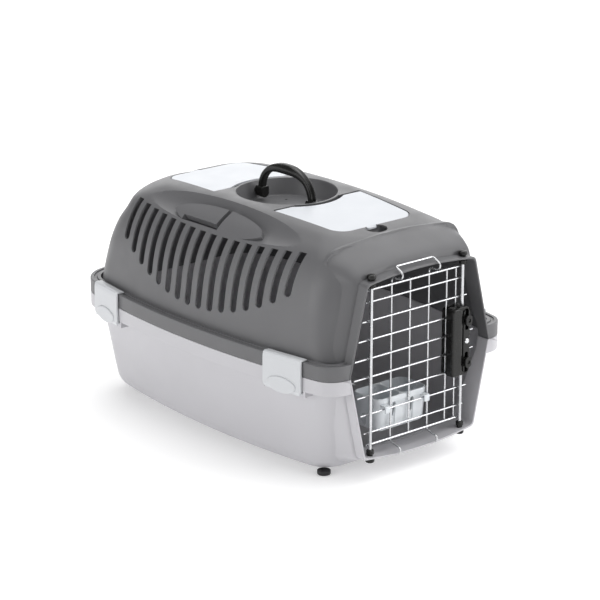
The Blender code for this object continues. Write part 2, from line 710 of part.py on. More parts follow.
def build_handle(looks):
    rings = []
    count = 24
    height = HANDLE_TOP_Z - 6.0 - HANDLE_PIVOT_Z
    for step in range(count + 1):
        share = step / count
        turn = pi * share
        along = cos(turn)
        rise = sin(turn)
        y = HANDLE_HALF_SPAN * (abs(along) ** 0.8) * (1 if along >= 0 else -1)
        z = HANDLE_PIVOT_Z + height * rise**0.8
        slope = Vector((0, y / HANDLE_HALF_SPAN**2, (z - HANDLE_PIVOT_Z + 0.01) / height**2))
        normal = slope.normalized()
        half_width, half_thick = handle_section(share)
        ring = []
        for x, t in rounded([(-1, -1), (1, -1), (1, 1), (-1, 1)], 0.6, steps=2):
            ring.append(Vector((x * half_width, y, z)) + normal * (t * half_thick))
        rings.append(ring)
    handle = loft(rings, "carry_handle", looks["black"])
    feet = []
    for side in (-1, 1):
        near, far = sorted((side * 50.0, side * 66.0))
        foot = prism(circle(8.0, (0.0, HANDLE_PIVOT_Z), 20), "Y", near, far, "foot_barrel")
        tip = sorted((side * 60.0, side * HANDLE_PIN_TIP))
        pin = prism(circle(HANDLE_PIN_RADIUS, (0.0, HANDLE_PIVOT_Z), 16), "Y", *tip, "pin")
        feet += [foot, pin]
    handle = combine(handle, feet, "UNION")
    set_origin(handle, (0, 0, HANDLE_PIVOT_Z))


# ---- door ----


def bushing(x, side, name, material):
    """Bushing through the hood (side +1) or the sill (side -1), with a blind bore for the rod."""
    inner = 296.0 if side > 0 else 40.0
    outer = 303.2 if side > 0 else 33.4
    steps = [
        (5.6, inner - side * 6.4),
        (5.6, inner - side * 0.6),
        (4.1, inner - side * 0.6),
        (4.1, outer + side * GAP),
        (6.6, outer + side * GAP),
        (6.6, outer + side * 4.6),
        (5.0, outer + side * 6.2),
    ]
    rings = [[Vector((a, b, z)) for a, b in circle(radius, count=20)] for radius, z in steps]
    made = loft(rings, name, material)
    ends = sorted((inner - side * 8.0, outer + side * 3.2))
    bore = prism(circle(ROD_RADIUS + 0.4, count=16), "Z", *ends, "bore")
    made = combine(made, [bore], "DIFFERENCE")
    made.location = Vector((x, ROD_Y, 0)) * MM
    return made


def build_bushings(looks):
    for x, hand in ((-HINGE_X, "left"), (HINGE_X, "right")):
        bushing(x, 1, f"bushing_top_{hand}", looks["black"])
        bushing(x, -1, f"bushing_bottom_{hand}", looks["black"])


def bail_path():
    """The two long uprights with the bail over the hood, as one bent wire."""
    left, right = BAIL_X
    front, bar_y, bar_z = -303.6, -288.0, 311.5
    rise = [(UPRIGHT_Y, 291.0), (UPRIGHT_Y - 3.0, 294.5), (front + 4.0, 296.0), (front, 299.0)]
    rise += [(front, 303.5), (front + 2.5, 306.5), (bar_y - 2.5, bar_z)]
    lower = [(front + 2.4, 33.0), (front, 35.8), (front, 40.0), (front + 3.0, 42.8)]
    lower += [(UPRIGHT_Y - 5.0, 45.8), (UPRIGHT_Y - 1.0, 47.0), (UPRIGHT_Y, 51.0)]
    up = [(left, y, z) for y, z in lower + rise]
    down = [(right, y, z) for y, z in (lower + rise)[::-1]]
    bar = [(left + 2.5, bar_y, bar_z + 0.4), (right - 2.5, bar_y, bar_z + 0.4)]
    return up + bar + down


def build_door(looks):
    crossing = []
    for z in CROSS_WIRE_Z:
        half = opening_half_width(z) - STUB_INSET
        ends = [(-half, CROSS_WIRE_Y, z), (half, CROSS_WIRE_Y, z)]
        crossing.append(tube(ends, WIRE_RADIUS, "cross"))
    for z in EDGE_WIRE_Z:
        half = HINGE_X + 4.5
        ends = [(-half, CROSS_WIRE_Y, z), (half, CROSS_WIRE_Y, z)]
        crossing.append(tube(ends, EDGE_WIRE_RADIUS, "edge"))
    upright = []
    for x in UPRIGHT_X:
        ends = [(x, UPRIGHT_Y, EDGE_WIRE_Z[0] - 1), (x, UPRIGHT_Y, EDGE_WIRE_Z[1] + 1)]
        upright.append(tube(ends, WIRE_RADIUS, "upright"))
    upright.append(tube(bail_path(), WIRE_RADIUS, "bail"))
    grid = join(crossing, "door_grid")
    grid.data.materials.append(looks["wire"])
    grid = combine(grid, [join(upright, "uprights")], "UNION")
    set_origin(grid, (-HINGE_X, ROD_Y, 0))
    rod = tube([(0, 0, 32.0), (0, 0, 305.0)], ROD_RADIUS, "hinge_rod", looks["wire"], sides=16)
    rod.location = Vector((-HINGE_X, ROD_Y, 0)) * MM


def slab(x0, x1, z0, z1):
    """Corners of an upright rectangle in (x, z)."""
    return [(x0, z0), (x1, z0), (x1, z1), (x0, z1)]


def latch_housing(looks, low, high):
    outline = rounded(slab(LATCH_X0, LATCH_X1, low, high), LATCH_CORNER)
    face = rounded(slab(LATCH_X0 + 3, LATCH_X1 - 2, low + 3, high - 3), 5.0)
    rings = [
        [Vector((x, LATCH_Y1, z)) for x, z in outline],
        [Vector((x, LATCH_Y0 + 4, z)) for x, z in outline],
        [Vector((x, LATCH_Y0, z)) for x, z in face],
    ]
    housing = loft(rings, "latch_housing", looks["black"])
    channel_low, channel_high = (HINGE_X - 5.3, -293.6, low - 5), (HINGE_X + 5.3, -282.0, high + 5)
    cuts = [box(channel_low, channel_high, "channel")]
    for side in (-1, 1):
        start, end = sorted((LATCH_Z + side * 17.0, LATCH_Z + side * 49.0))
        cuts.append(box((HINGE_X - 3.3, -310.0, start), (HINGE_X + 3.3, -290.0, end), "window"))
    cuts.append(prism(circle(RIVET_HOLE, (HINGE_X, LATCH_Z), 14), "Y", -310, -280, "rivet_hole"))
    return combine(housing, cuts, "DIFFERENCE")


def latch_plate(looks, low, high):
    outline = rounded(slab(LATCH_X0, LATCH_X1, low, high), LATCH_CORNER)
    plate = prism(outline, "Y", PLATE_Y0, PLATE_Y1, "latch_back_plate", looks["black"])
    hole = prism(circle(RIVET_HOLE, (HINGE_X, LATCH_Z), 14), "Y", -310, -270, "rivet_hole")
    return combine(plate, [hole], "DIFFERENCE")


def latch_rivet(looks):
    front = LATCH_Y0 - GAP
    back = PLATE_Y1 + GAP
    profile = [(4.0, back + 1.3), (4.0, back), (2.0, back), (2.0, front), (3.8, front), (2.8, front - 1.3)]
    rings = [
        [Vector((HINGE_X + a, y, LATCH_Z + b)) for a, b in circle(radius, count=16)]
        for radius, y in profile
    ]
    return loft(rings, "latch_rivet", looks["wire"])


def latch_slider(side, name, looks):
    z0, z1 = sorted((LATCH_Z + side * 21.0, LATCH_Z + side * 43.0))
    carriage_low, carriage_high = (HINGE_X - 4.9, -293.2, z0), (HINGE_X + 4.9, -285.7, z1)
    slider = box(carriage_low, carriage_high, name, looks["black"])
    stem = box((HINGE_X - 2.9, -303.0, z0 + 5), (HINGE_X + 2.9, -292.0, z1 - 5), "stem")
    face = rounded(slab(HINGE_X - 5.5, HINGE_X + 5.5, z0 + 3, z1 - 3), 3.0)
    slider = combine(slider, [stem, prism(face, "Y", -304.6, -301.2, "pad")], "UNION")
    z0, z1 = sorted((LATCH_Z + side * 30.0, LATCH_Z + side * 60.0))
    bore = prism(circle(ROD_RADIUS + GAP, (HINGE_X, ROD_Y), 16), "Z", z0, z1, "rod_bore")
    return combine(slider, [bore], "DIFFERENCE")


def latch_rod(side, name, looks):
    tip = 290.5 if side > 0 else 45.5
    path = [(0, 0, LATCH_Z + side * 30.5), (0, 0, tip)]
    rod = tube(path, ROD_RADIUS, name, looks["wire"], sides=16)
    rod.location = Vector((HINGE_X, ROD_Y, 0)) * MM


def latch_spring(side, name, looks):
    coils, per_turn = 5, 10
    start, end = LATCH_Z + side * 4.2, LATCH_Z + side * 19.8
    path = []
    for step in range(coils * per_turn + 1):
        turn = 2 * pi * step / per_turn
        z = start + (end - start) * step / (coils * per_turn)
        path.append((2.9 * cos(turn), 2.9 * sin(turn), z))
    spring = tube(path, 0.45, name, looks["wire"], sides=6)
    spring.location = Vector((HINGE_X, -289.6, 0)) * MM


def build_latch(looks):
    """The latch on the door's free side: housing, back plate, rivet, two sliders, bolts and springs."""
    low, high = LATCH_Z - LATCH_HEIGHT / 2, LATCH_Z + LATCH_HEIGHT / 2
    middle = (HINGE_X, ROD_Y, LATCH_Z)
    set_origin(latch_housing(looks, low, high), middle)
    set_origin(latch_plate(looks, low, high), middle)
    set_origin(latch_rivet(looks), middle)
    for side, where in ((1, "upper"), (-1, "lower")):
        set_origin(latch_slider(side, f"latch_slider_{where}", looks), middle)
        latch_rod(side, f"latch_rod_{where}", looks)
        latch_spring(side, f"latch_spring_{where}", looks)


def build_bowl(looks):
    (x0, x1), (y0, y1), (z0, z1) = BOWL_X, BOWL_Y, BOWL_Z

    def shape(grow, floor, top, draft, name, x_low=x0, x_high=x1, material=None):
        rings = []
        for z, inset in ((floor, draft), (top, 0.0)):
            corners = [
                (x_low - grow + inset, y0 - grow + inset),
                (x_high + grow - inset, y0 - grow + inset),
                (x_high + grow - inset, y1 + grow - inset),
                (x_low - grow + inset, y1 + grow - inset),
            ]
            rings.append([Vector((x, y, z)) for x, y in rounded(corners, 11.0)])
        return loft(rings, name, material)

    bowl = shape(0.0, z0, z1, 3.0, "double_bowl", material=looks["bowl"])
    middle = (x0 + x1) / 2
    hooks = []
    for x in (middle - 38.5, middle + 38.5):
        hooks.append(box((x - 5, -288.6, 102.0), (x + 5, y0 + 4, 104.2), "hook"))
        hooks.append(box((x - 5, -288.6, 94.0), (x + 5, -286.2, 104.2), "hook_tip"))
    bowl = combine(bowl, hooks, "UNION")
    cups = [
        shape(-2.0, z0 + 2.0, z1 + 1, 3.0, "cup", x0, middle + 1.0),
        shape(-2.0, z0 + 2.0, z1 + 1, 3.0, "cup", middle - 1.0, x1),
    ]
    bowl = combine(bowl, cups, "DIFFERENCE")
    set_origin(bowl, (-HINGE_X, ROD_Y, 0))


def main():
    for stale in list(bpy.data.objects):
        bpy.data.objects.remove(stale)
    looks = make_looks()
    build_tray(looks)
    build_top_shell(looks)
    build_feet(looks)
    build_clips(looks)
    build_lids(looks)
    build_handle(looks)
    build_bushings(looks)
    build_door(looks)
    build_latch(looks)
    build_bowl(looks)
    for made in bpy.data.objects:
        smooth(made)


main()
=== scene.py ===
"""Pet transport carrier: its moulded halves, wire door, latch, clips, lids, handle and bowl.

Sizes in the code are millimetres; MM turns them into Blender's metres.
+Z is up, the door faces -Y and every piece is built in place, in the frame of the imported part.
"""

from math import atan, atan2, cos, pi, radians, sin, sqrt

import bmesh
import bpy
from bpy.props import FloatProperty, FloatVectorProperty, IntProperty, PointerProperty
from mathutils import Matrix, Vector
from mathutils.bvhtree import BVHTree


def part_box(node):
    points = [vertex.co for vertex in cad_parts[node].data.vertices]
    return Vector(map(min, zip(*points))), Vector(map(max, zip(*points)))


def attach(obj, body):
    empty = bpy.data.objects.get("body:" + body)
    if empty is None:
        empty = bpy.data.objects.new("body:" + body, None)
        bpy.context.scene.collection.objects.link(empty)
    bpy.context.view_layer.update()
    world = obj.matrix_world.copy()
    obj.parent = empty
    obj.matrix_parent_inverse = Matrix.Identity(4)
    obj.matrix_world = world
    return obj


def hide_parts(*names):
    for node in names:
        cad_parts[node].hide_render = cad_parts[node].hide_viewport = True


bl_info = {
    "name": "Pet Transport Carrier",
    "version": (1, 0, 0),
    "blender": (4, 5, 0),
    "location": "View3D > Sidebar > Carrier",
    "description": "Builds the finished pieces of a pet transport carrier around its packed part",
    "category": "Object",
}

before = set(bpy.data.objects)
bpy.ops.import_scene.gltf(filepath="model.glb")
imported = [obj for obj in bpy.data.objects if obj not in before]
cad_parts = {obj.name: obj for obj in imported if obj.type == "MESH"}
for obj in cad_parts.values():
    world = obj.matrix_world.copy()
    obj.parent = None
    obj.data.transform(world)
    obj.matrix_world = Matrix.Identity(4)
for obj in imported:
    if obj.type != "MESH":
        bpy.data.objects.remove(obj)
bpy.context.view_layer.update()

MM = 0.001
GAP = 0.3  # clearance between pieces that touch

# ---- body ----
WALL = 2.6
RIM_LEVEL = (0.0, 200.0, -297.0, 305.0, 34.0, 64.0)
JOIN_Z = 166.0
TOP_BAND, TRAY_BAND = 22.0, 22.0
BOW, BOW_REACH = 21.0, 245.0  # the sides pull in by BOW at BOW_REACH from the middle
TRAY_FLOOR_Z = 7.0
DECK_Z, DECK_SAG, SAG_REACH = 355.0, 8.0, 200.0

# ---- door opening and its collar ----
LIP_Y = -298.0
COLLAR_WALL = 3.0
OPENING_TOP_Z, OPENING_MID_Z, OPENING_SILL_Z = 296.0, 168.0, 40.0
OPENING_TOP, OPENING_MID, OPENING_SILL = 103.0, 135.0, 106.0  # half widths
ARCH_RISE, SILL_SAG = 7.6, 8.0

# ---- scoops and belt pads ----
SCOOP_RADIUS, SCOOP_HALF_LENGTH = 54.5, 370.0
SCOOP_X, SCOOP_Z = 146.3, 375.6
PAD_HALF_LENGTH, PAD_MIDDLE, PAD_LOWER, PAD_UPPER = 101.0, 12.0, 17.0, 25.0

# ---- handle, recess and lids ----
RECESS_RADIUS, RECESS_FLOOR_RADIUS, RECESS_FLOOR_Z = 77.0, 69.0, 328.0
HANDLE_PIVOT_Z, HANDLE_HALF_SPAN, HANDLE_TOP_Z = 341.0, 58.0, 394.0
HANDLE_PIN_RADIUS, HANDLE_PIN_TIP = 3.6, 78.0
LID_INNER_Y, LID_OUTER_Y = 71.0, 203.0
LID_INNER_HALF, LID_OUTER_HALF = 84.0, 73.0
LID_ARC_RADIUS, LID_CORNER = 87.0, 26.0
SEAT_ARC_RADIUS = 80.0  # leaves room for the opened lid beside the recess
LID_THICK, LID_GAP, LID_INNER_GAP = 2.8, 0.9, 3.0
LID_LEDGE = 3.5  # width of the ledge that the lid rests over
LID_AXIS_Y, LID_AXIS_Z = 75.5, 350.4
LID_PEG_RADIUS, LID_PEG_LENGTH = 1.4, 2.0
EAR_ROOM_X = (-10.5, 1.4)  # room round each lid ear, from the lid's side edge
EAR_ROOM_Y = (-7.2, 6.0)  # and from the lid's axis, so that its inner edge can swing down
EAR_ROOM_Z = (-7.0, 1.0)
WELL_DEPTH = 27.0
NOTCH_X, TONGUE_HALF, TONGUE = -14.0, 10.0, 4.0  # finger dip and the lid's tongue over it

# ---- door ----
HINGE_X, ROD_Y, ROD_RADIUS = 89.0, -288.0, 2.5
CROSS_WIRE_Y, UPRIGHT_Y = -283.4, -281.2
EDGE_WIRE_Z = (52.4, 285.4)
EDGE_WIRE_RADIUS = 1.8
UPRIGHT_X = (-82.5, -8.3, 63.8, 82.2)
BAIL_X = (-44.3, 28.4)
STUB_INSET = 14.5
BUSHING_HOLE = 4.5  # radius of the hole that takes a bushing

# ---- latch, clips and bowl ----
LATCH_Z, LATCH_HEIGHT = 174.5, 105.0
LATCH_X0, LATCH_X1 = 60.0, 96.0
LATCH_Y0, LATCH_Y1 = -300.5, -285.3
CLIP_Y, CLIP_LENGTH = 209.0, 72.0
CLIP_PIVOT_IN, CLIP_PIVOT_Z = 4.0, 139.5
PEG_RADIUS, PEG_LENGTH = 1.8, 3.4
FOOT_RADIUS = 10.0
BOWL_X, BOWL_Y, BOWL_Z = (-67.0, 34.0), (-279.4, -221.0), (61.5, 113.0)

RING_SIDE, RING_CORNER, RING_END = 40, 16, 10  # points along half a plan outline

# level: z, half width, front y, back y, front corner radius, back corner radius, sag
TOP_LEVELS = (
    (186.0, 185.0, -282.0, 287.0, 44.0, 60.0, 0.0),
    (206.0, 183.5, -277.0, 283.0, 48.0, 62.0, 0.0),
    (232.0, 180.0, -274.0, 278.0, 51.0, 64.0, 0.0),
    (262.0, 175.0, -273.0, 270.0, 53.0, 66.0, 0.0),
    (286.0, 168.0, -272.5, 261.0, 55.0, 68.0, 0.0),
    (304.0, 159.5, -271.0, 251.0, 56.0, 68.0, 0.0),
    (320.0, 148.5, -265.5, 247.0, 57.0, 68.0, 0.0),
    (333.0, 134.5, -254.0, 238.0, 56.0, 68.0, 1.0),
    (343.0, 119.0, -243.5, 227.0, 55.0, 66.0, 3.0),
    (350.0, 106.5, -232.5, 215.0, 54.0, 58.0, 5.0),
    (354.0, 94.0, -217.0, 200.0, 48.0, 48.0, 6.8),
    (DECK_Z, 60.0, -180.0, 150.0, 30.0, 30.0, DECK_SAG),
)
TRAY_LEVELS = (
    (TRAY_FLOOR_Z, 138.0, -226.0, 262.0, 34.0, 46.0, 0.0),
    (9.5, 147.0, -237.0, 270.0, 38.0, 50.0, 0.0),
    (15.0, 154.5, -246.0, 277.0, 42.0, 54.0, 0.0),
    (24.0, 160.0, -253.0, 281.0, 44.0, 57.0, 0.0),
    (40.0, 164.0, -258.0, 283.0, 45.0, 58.0, 0.0),
    (80.0, 171.5, -266.0, 286.0, 45.0, 59.0, 0.0),
    (120.0, 179.0, -275.0, 289.0, 44.0, 60.0, 0.0),
    (148.0, 184.5, -281.5, 290.5, 44.0, 60.0, 0.0),
)


def from_hex(text):
    """Linear RGBA of an sRGB hex colour."""
    parts = [int(text[i : i + 2], 16) / 255 for i in (1, 3, 5)]
    return (*[c / 12.92 if c <= 0.04045 else ((c + 0.055) / 1.055) ** 2.4 for c in parts], 1.0)


def colour(label, description, value):
    return FloatVectorProperty(
        name=label,
        description=description,
        subtype="COLOR",
        size=4,
        min=0.0,
        max=1.0,
        default=from_hex(value),
    )


class CarrierColours(bpy.types.PropertyGroup):
    top_shell: colour("Top Shell", "Colour of the upper half's polypropylene", "#616163")
    tray: colour("Tray", "Colour of the lower half's polypropylene", "#bdbcc0")
    clip: colour("Clips", "Colour of the four snap clips", "#c8cacd")
    lid: colour("Lids", "Colour of the two well lids", "#cacdd2")
    fitting: colour("Fittings", "Colour of the handle, latch and bushings", "#141413")
    wire: colour("Wire", "Colour of the door's zinc plate", "#cfd0d2")
    foot: colour("Feet", "Colour of the rubber feet", "#2b2b2d")
    bowl: colour("Bowl", "Colour of the milky bowl", "#eef2f6")
    floor: colour("Floor", "Colour of the studio floor", "#e6e6e6")


def length(label, description, millimetres):
    return FloatProperty(
        name=label, description=description, default=millimetres * MM, unit="LENGTH"
    )


class CarrierVents(bpy.types.PropertyGroup):
    count: IntProperty(name="Vents per Side", description="Slots along each side", default=16, min=2)
    pitch: length("Pitch", "Distance between slots", 25.2)
    width: length("Width", "Width of one slot", 13.6)
    low: length("Lowest End", "Height of the middle slots' lower end", 210.0)
    low_rise: length("Low Rise", "How much higher the last slots start", 57.0)
    high: length("Upper End", "Height of the middle slots' upper end", 317.5)
    high_rise: length("High Rise", "How much higher the last slots end", 9.0)


class CarrierDoor(bpy.types.PropertyGroup):
    wires: IntProperty(name="Cross Wires", description="Thin wires across the door", default=8, min=2)
    first: length("First Wire", "Height of the lowest cross wire", 71.0)
    pitch: length("Wire Pitch", "Distance between cross wires", 28.07)
    radius: length("Wire Radius", "Radius of the thin wires", 1.4)
    spring_turns: FloatProperty(
        name="Spring Turns", description="Turns of each latch spring", default=5.0, min=1.0
    )


# ---- materials ----


def add(tree, kind, links=(), **settings):
    """Adds a node: settings are its properties, and links maps its inputs to nodes, sockets or values."""
    node = tree.nodes.new(kind)
    for key, value in settings.items():
        setattr(node, key, value)
    for key, value in dict(links).items():
        if isinstance(value, bpy.types.Node):
            value = value.outputs[0]
        if isinstance(value, bpy.types.NodeSocket):
            tree.links.new(value, node.inputs[key])
        else:
            node.inputs[key].default_value = value
    return node


def surface(name, tint, stretch, tone, gloss, tooth, depth, **extra):
    """Material whose tone and gloss drift in soft patches over a fine bump.

    tone and gloss are (patch size in metres, noise detail, lowest value, highest value), and tooth is
    (grain size in millimetres, noise roughness). The extra settings are constants on the shader.
    """
    found = bpy.data.materials.get(name)
    if found:
        return found
    material = bpy.data.materials.new(name)
    material.use_nodes = True
    tree = material.node_tree
    shader = tree.nodes["Principled BSDF"]
    where = add(tree, "ShaderNodeTexCoord").outputs["Object"]
    stretched = add(tree, "ShaderNodeMapping", {"Vector": where, "Scale": stretch})
    drift = []
    for place, (size, detail, low, high) in ((stretched, tone), (where, gloss)):
        patches = {"Vector": place, "Scale": 1 / size, "Detail": detail}
        spread = {"From Min": 0.3, "From Max": 0.7, "To Min": low, "To Max": high}
        noise = add(tree, "ShaderNodeTexNoise", patches)
        drift.append(add(tree, "ShaderNodeMapRange", {"Value": noise, **spread}))
    shade = add(tree, "ShaderNodeHueSaturation", {"Color": tint, "Value": drift[0]})
    grain = {"Vector": where, "Scale": 1 / (tooth[0] * MM), "Detail": 2.0, "Roughness": tooth[1]}
    noise = add(tree, "ShaderNodeTexNoise", grain)
    bump = add(tree, "ShaderNodeBump", {"Height": noise, "Distance": depth * MM})
    for socket, node in (("Base Color", shade), ("Roughness", drift[1]), ("Normal", bump)):
        tree.links.new(node.outputs[0], shader.inputs[socket])
    for key, value in extra.items():
        shader.inputs[key.replace("_", " ")].default_value = value
    return material


def moulded_plastic(name, tint, roughness, grain, depth, mottling, **extra):
    """Injection-moulded plastic: fine tool grain, faint flow mottling and a little handling gloss."""
    # flow marks are about 90 mm long, and follow the way the plastic ran
    tone = (0.09, 4.0, 1 - mottling, 1 + mottling)
    # handling leaves patches about 30 mm across a little glossier
    gloss = (0.03, 5.0, roughness - 0.05, roughness + 0.06)
    # the tool's grain is about 0.2 mm, drawn coarser so that it shows
    return surface(name, tint, (1.0, 0.5, 1.0), tone, gloss, (grain, 0.6), depth, **extra)


def shell_plastic(colours):
    # Grained polypropylene: satin, with a soft wide highlight on the curved shoulders.
    return moulded_plastic("grained_polypropylene_dark", colours.top_shell, 0.42, 1.1, 0.05, 0.03)


def tray_plastic(colours):
    # Grained polypropylene in light grey: the same satin, slightly warmer where it is thick.
    return moulded_plastic("grained_polypropylene_light", colours.tray, 0.42, 1.1, 0.04, 0.015)


def clip_plastic(colours):
    # Smooth moulded polypropylene: a little glossier than the shells.
    return moulded_plastic("smooth_polypropylene_pale", colours.clip, 0.36, 1.4, 0.02, 0.01)


def lid_plastic(colours):
    # Smooth white polypropylene: almost shadowless, with a faint waxy depth.
    return moulded_plastic("smooth_polypropylene_white", colours.lid, 0.4, 1.4, 0.02, 0.008)


def fitting_plastic(colours):
    # Glass-filled nylon: deep black with small bright highlights on its edges.
    return moulded_plastic(
        "glass_filled_nylon_black", colours.fitting, 0.26, 1.0, 0.015, 0.04, Specular_IOR_Level=0.35
    )


def foot_rubber(colours):
    # Thermoplastic rubber: matt, no clear highlight.
    return moulded_plastic("thermoplastic_rubber_dark", colours.foot, 0.7, 0.9, 0.05, 0.04)


def bowl_plastic(colours):
    # Natural polypropylene: milky, so light comes through its thin walls.
    milky = {"Transmission_Weight": 0.25, "IOR": 1.49, "Subsurface_Weight": 0.3}
    milky["Subsurface_Radius"] = (0.004, 0.004, 0.004)
    return moulded_plastic("natural_polypropylene_milky", colours.bowl, 0.3, 1.6, 0.02, 0.01, **milky)


def zinc_plate(colours):
    """Bright zinc plate on drawn steel wire: cool white metal, with fine drawing lines and dull specks."""
    # plating clouds are about 12 mm across, and the paler ones are glossier
    tone, gloss = (0.012, 4.0, 0.9, 1.04), (0.012, 4.0, 0.34, 0.2)
    # drawing lines are far finer than this 0.6 mm, which is drawn coarse so that it shows
    lines, depth = (0.6, 0.5), 0.008
    unstretched = (1.0, 1.0, 1.0)
    return surface("bright_zinc_plate", colours.wire, unstretched, tone, gloss, lines, depth, Metallic=1.0)


# ---- mesh helpers, which take millimetres ----


def placed(name, data):
    """A new scene object that holds this mesh, curve, light or camera."""
    made = bpy.data.objects.new(name, data)
    bpy.context.scene.collection.objects.link(made)
    return made


def object_from(bm, name):
    """Scales a bmesh in millimetres to metres and makes it a scene object."""
    bmesh.ops.recalc_face_normals(bm, faces=bm.faces)
    bmesh.ops.scale(bm, vec=(MM, MM, MM), verts=bm.verts)
    mesh = bpy.data.meshes.new(name)
    bm.to_mesh(mesh)
    bm.free()
    return placed(name, mesh)


def lofted(rings, looped=False):
    """Bmesh that joins closed rings of equal length; the ends are filled unless the rings form a loop."""
    bm = bmesh.new()
    rows = [[bm.verts.new(point) for point in ring] for ring in rings]
    count = len(rows[0])
    pairs = list(zip(rows, rows[1:]))
    if looped:
        pairs.append((rows[-1], rows[0]))
    for low, high in pairs:
        for i in range(count):
            j = (i + 1) % count
            bm.faces.new((low[i], low[j], high[j], high[i]))
    if not looped:
        bm.faces.new(rows[0][::-1])
        bm.faces.new(rows[-1])
    return bm


def loft(rings, name, looped=False):
    return object_from(lofted(rings, looped), name)


def prism(points, direction, start, end, name, ease=0.0):
    """Extrudes an outline of (a, b) points along X, Y or Z; ease rounds its end edges."""
    place = {
        "X": lambda a, b, t: Vector((t, a, b)),
        "Y": lambda a, b, t: Vector((a, t, b)),
        "Z": lambda a, b, t: Vector((a, b, t)),
    }[direction]
    if not ease:
        return loft([[place(a, b, t) for a, b in points] for t in (start, end)], name)
    rings = []
    for inset, run in ((ease, 0.0), (0.3 * ease, 0.3 * ease), (0.0, ease)):
        rings.append([place(a, b, start + run) for a, b in inset_outline(points, inset)])
    for inset, run in ((0.0, ease), (0.3 * ease, 0.3 * ease), (ease, 0.0)):
        rings.append([place(a, b, end - run) for a, b in inset_outline(points, inset)])
    return loft(rings, name)


def inset_outline(points, inset):
    """Moves each point of a closed outline in by a distance, along its own normal."""
    if not inset:
        return list(points)
    area = sum(
        a[0] * b[1] - b[0] * a[1] for a, b in zip(points, list(points[1:]) + [points[0]])
    )
    hand = 1 if area > 0 else -1
    moved_points = []
    for i, (a, b) in enumerate(points):
        before, after = points[i - 1], points[(i + 1) % len(points)]
        along = Vector((after[0] - before[0], after[1] - before[1])).normalized()
        moved_points.append((a - hand * along.y * inset, b + hand * along.x * inset))
    return moved_points


def rectangle(a0, a1, b0, b1):
    return [(a0, b0), (a1, b0), (a1, b1), (a0, b1)]


def box(low, high, name):
    return prism(rectangle(low[0], high[0], low[1], high[1]), "Z", low[2], high[2], name)


def circle(radius, centre=(0.0, 0.0), count=48):
    steps = (2 * pi * i / count for i in range(count))
    return [(centre[0] + radius * cos(a), centre[1] + radius * sin(a)) for a in steps]


def turned(profile, centre, name, count=48):
    """Solid of revolution about a vertical line, from (radius, z) pairs listed from one end to the other."""
    rings = [[Vector((a, b, z)) for a, b in circle(radius, centre, count)] for radius, z in profile]
    return loft(rings, name)


def rounded(corners, radius, steps=8):
    """Rounds each corner of an outline; radius is one number or one for each corner."""
    radii = radius if isinstance(radius, (list, tuple)) else [radius] * len(corners)
    points = []
    for i, corner in enumerate(corners):
        here = Vector(corner)
        before = (Vector(corners[i - 1]) - here).normalized()
        after = (Vector(corners[(i + 1) % len(corners)]) - here).normalized()
        half = before.angle(after) / 2
        if radii[i] <= 0 or half > pi / 2 - 0.02:
            points.append(tuple(here))
            continue
        centre = here + (before + after).normalized() * radii[i] / sin(half)
        reach = radii[i] / (sin(half) / cos(half))
        start = here + before * reach - centre
        end = here + after * reach - centre
        sweep = start.angle_signed(end)
        for step in range(steps + 1):
            turn = Matrix.Rotation(-sweep * step / steps, 2)
            points.append(tuple(centre + turn @ start))
    return points


def rounded_box(low, high, radius, name, ease=1.0):
    """Block with rounded upright edges and eased ends."""
    outline = rounded(rectangle(low[0], high[0], low[1], high[1]), radius, 6)
    return prism(outline, "Z", low[2], high[2], name, ease)


def as_mesh(source, name):
    """Swaps an object for its evaluated mesh, with doubled points merged and no modifiers left."""
    bpy.context.view_layer.update()
    graph = bpy.context.evaluated_depsgraph_get()
    mesh = bpy.data.meshes.new_from_object(source.evaluated_get(graph))
    mesh.materials.clear()
    bm = bmesh.new()
    bm.from_mesh(mesh)
    bmesh.ops.remove_doubles(bm, verts=bm.verts, dist=1e-7)
    bm.to_mesh(mesh)
    bm.free()
    bpy.data.objects.remove(source)
    return placed(name, mesh)


def tube(path, radius, name, sides=16):
    """Round wire along a list of points, filled at both ends."""
    curve = bpy.data.curves.new(name, "CURVE")
    curve.dimensions = "3D"
    curve.bevel_depth = radius * MM
    curve.bevel_resolution = max(sides // 2 - 2, 0)
    curve.use_fill_caps = True
    spline = curve.splines.new("POLY")
    spline.points.add(len(path) - 1)
    for point, place in zip(spline.points, path):
        point.co = (*(Vector(place) * MM), 1.0)
    return as_mesh(placed(name, curve), name)


def combine(target, others, operation):
    """Applies one Boolean for each of the others, which are then removed."""
    for other in others:
        step = target.modifiers.new("combine", "BOOLEAN")
        step.operation = operation
        step.solver = "MANIFOLD"
        step.object = other
        bpy.context.view_layer.update()
        graph = bpy.context.evaluated_depsgraph_get()
        mesh = bpy.data.meshes.new_from_object(target.evaluated_get(graph))
        target.modifiers.clear()
        target.data = mesh
        mesh.materials.clear()
        bpy.data.objects.remove(other)
    return target


def join(parts, name):
    """One object that holds the meshes of several."""
    bm = bmesh.new()
    for part in parts:
        part.data.transform(part.matrix_world)
        bm.from_mesh(part.data)
        bpy.data.objects.remove(part)
    mesh = bpy.data.meshes.new(name)
    bm.to_mesh(mesh)
    bm.free()
    mesh.materials.clear()
    return placed(name, mesh)


def moved(target, matrix):
    """Applies a matrix in millimetres to a mesh in metres."""
    scaled = matrix.copy()
    scaled.translation = matrix.translation * MM
    target.data.transform(scaled)
    return target


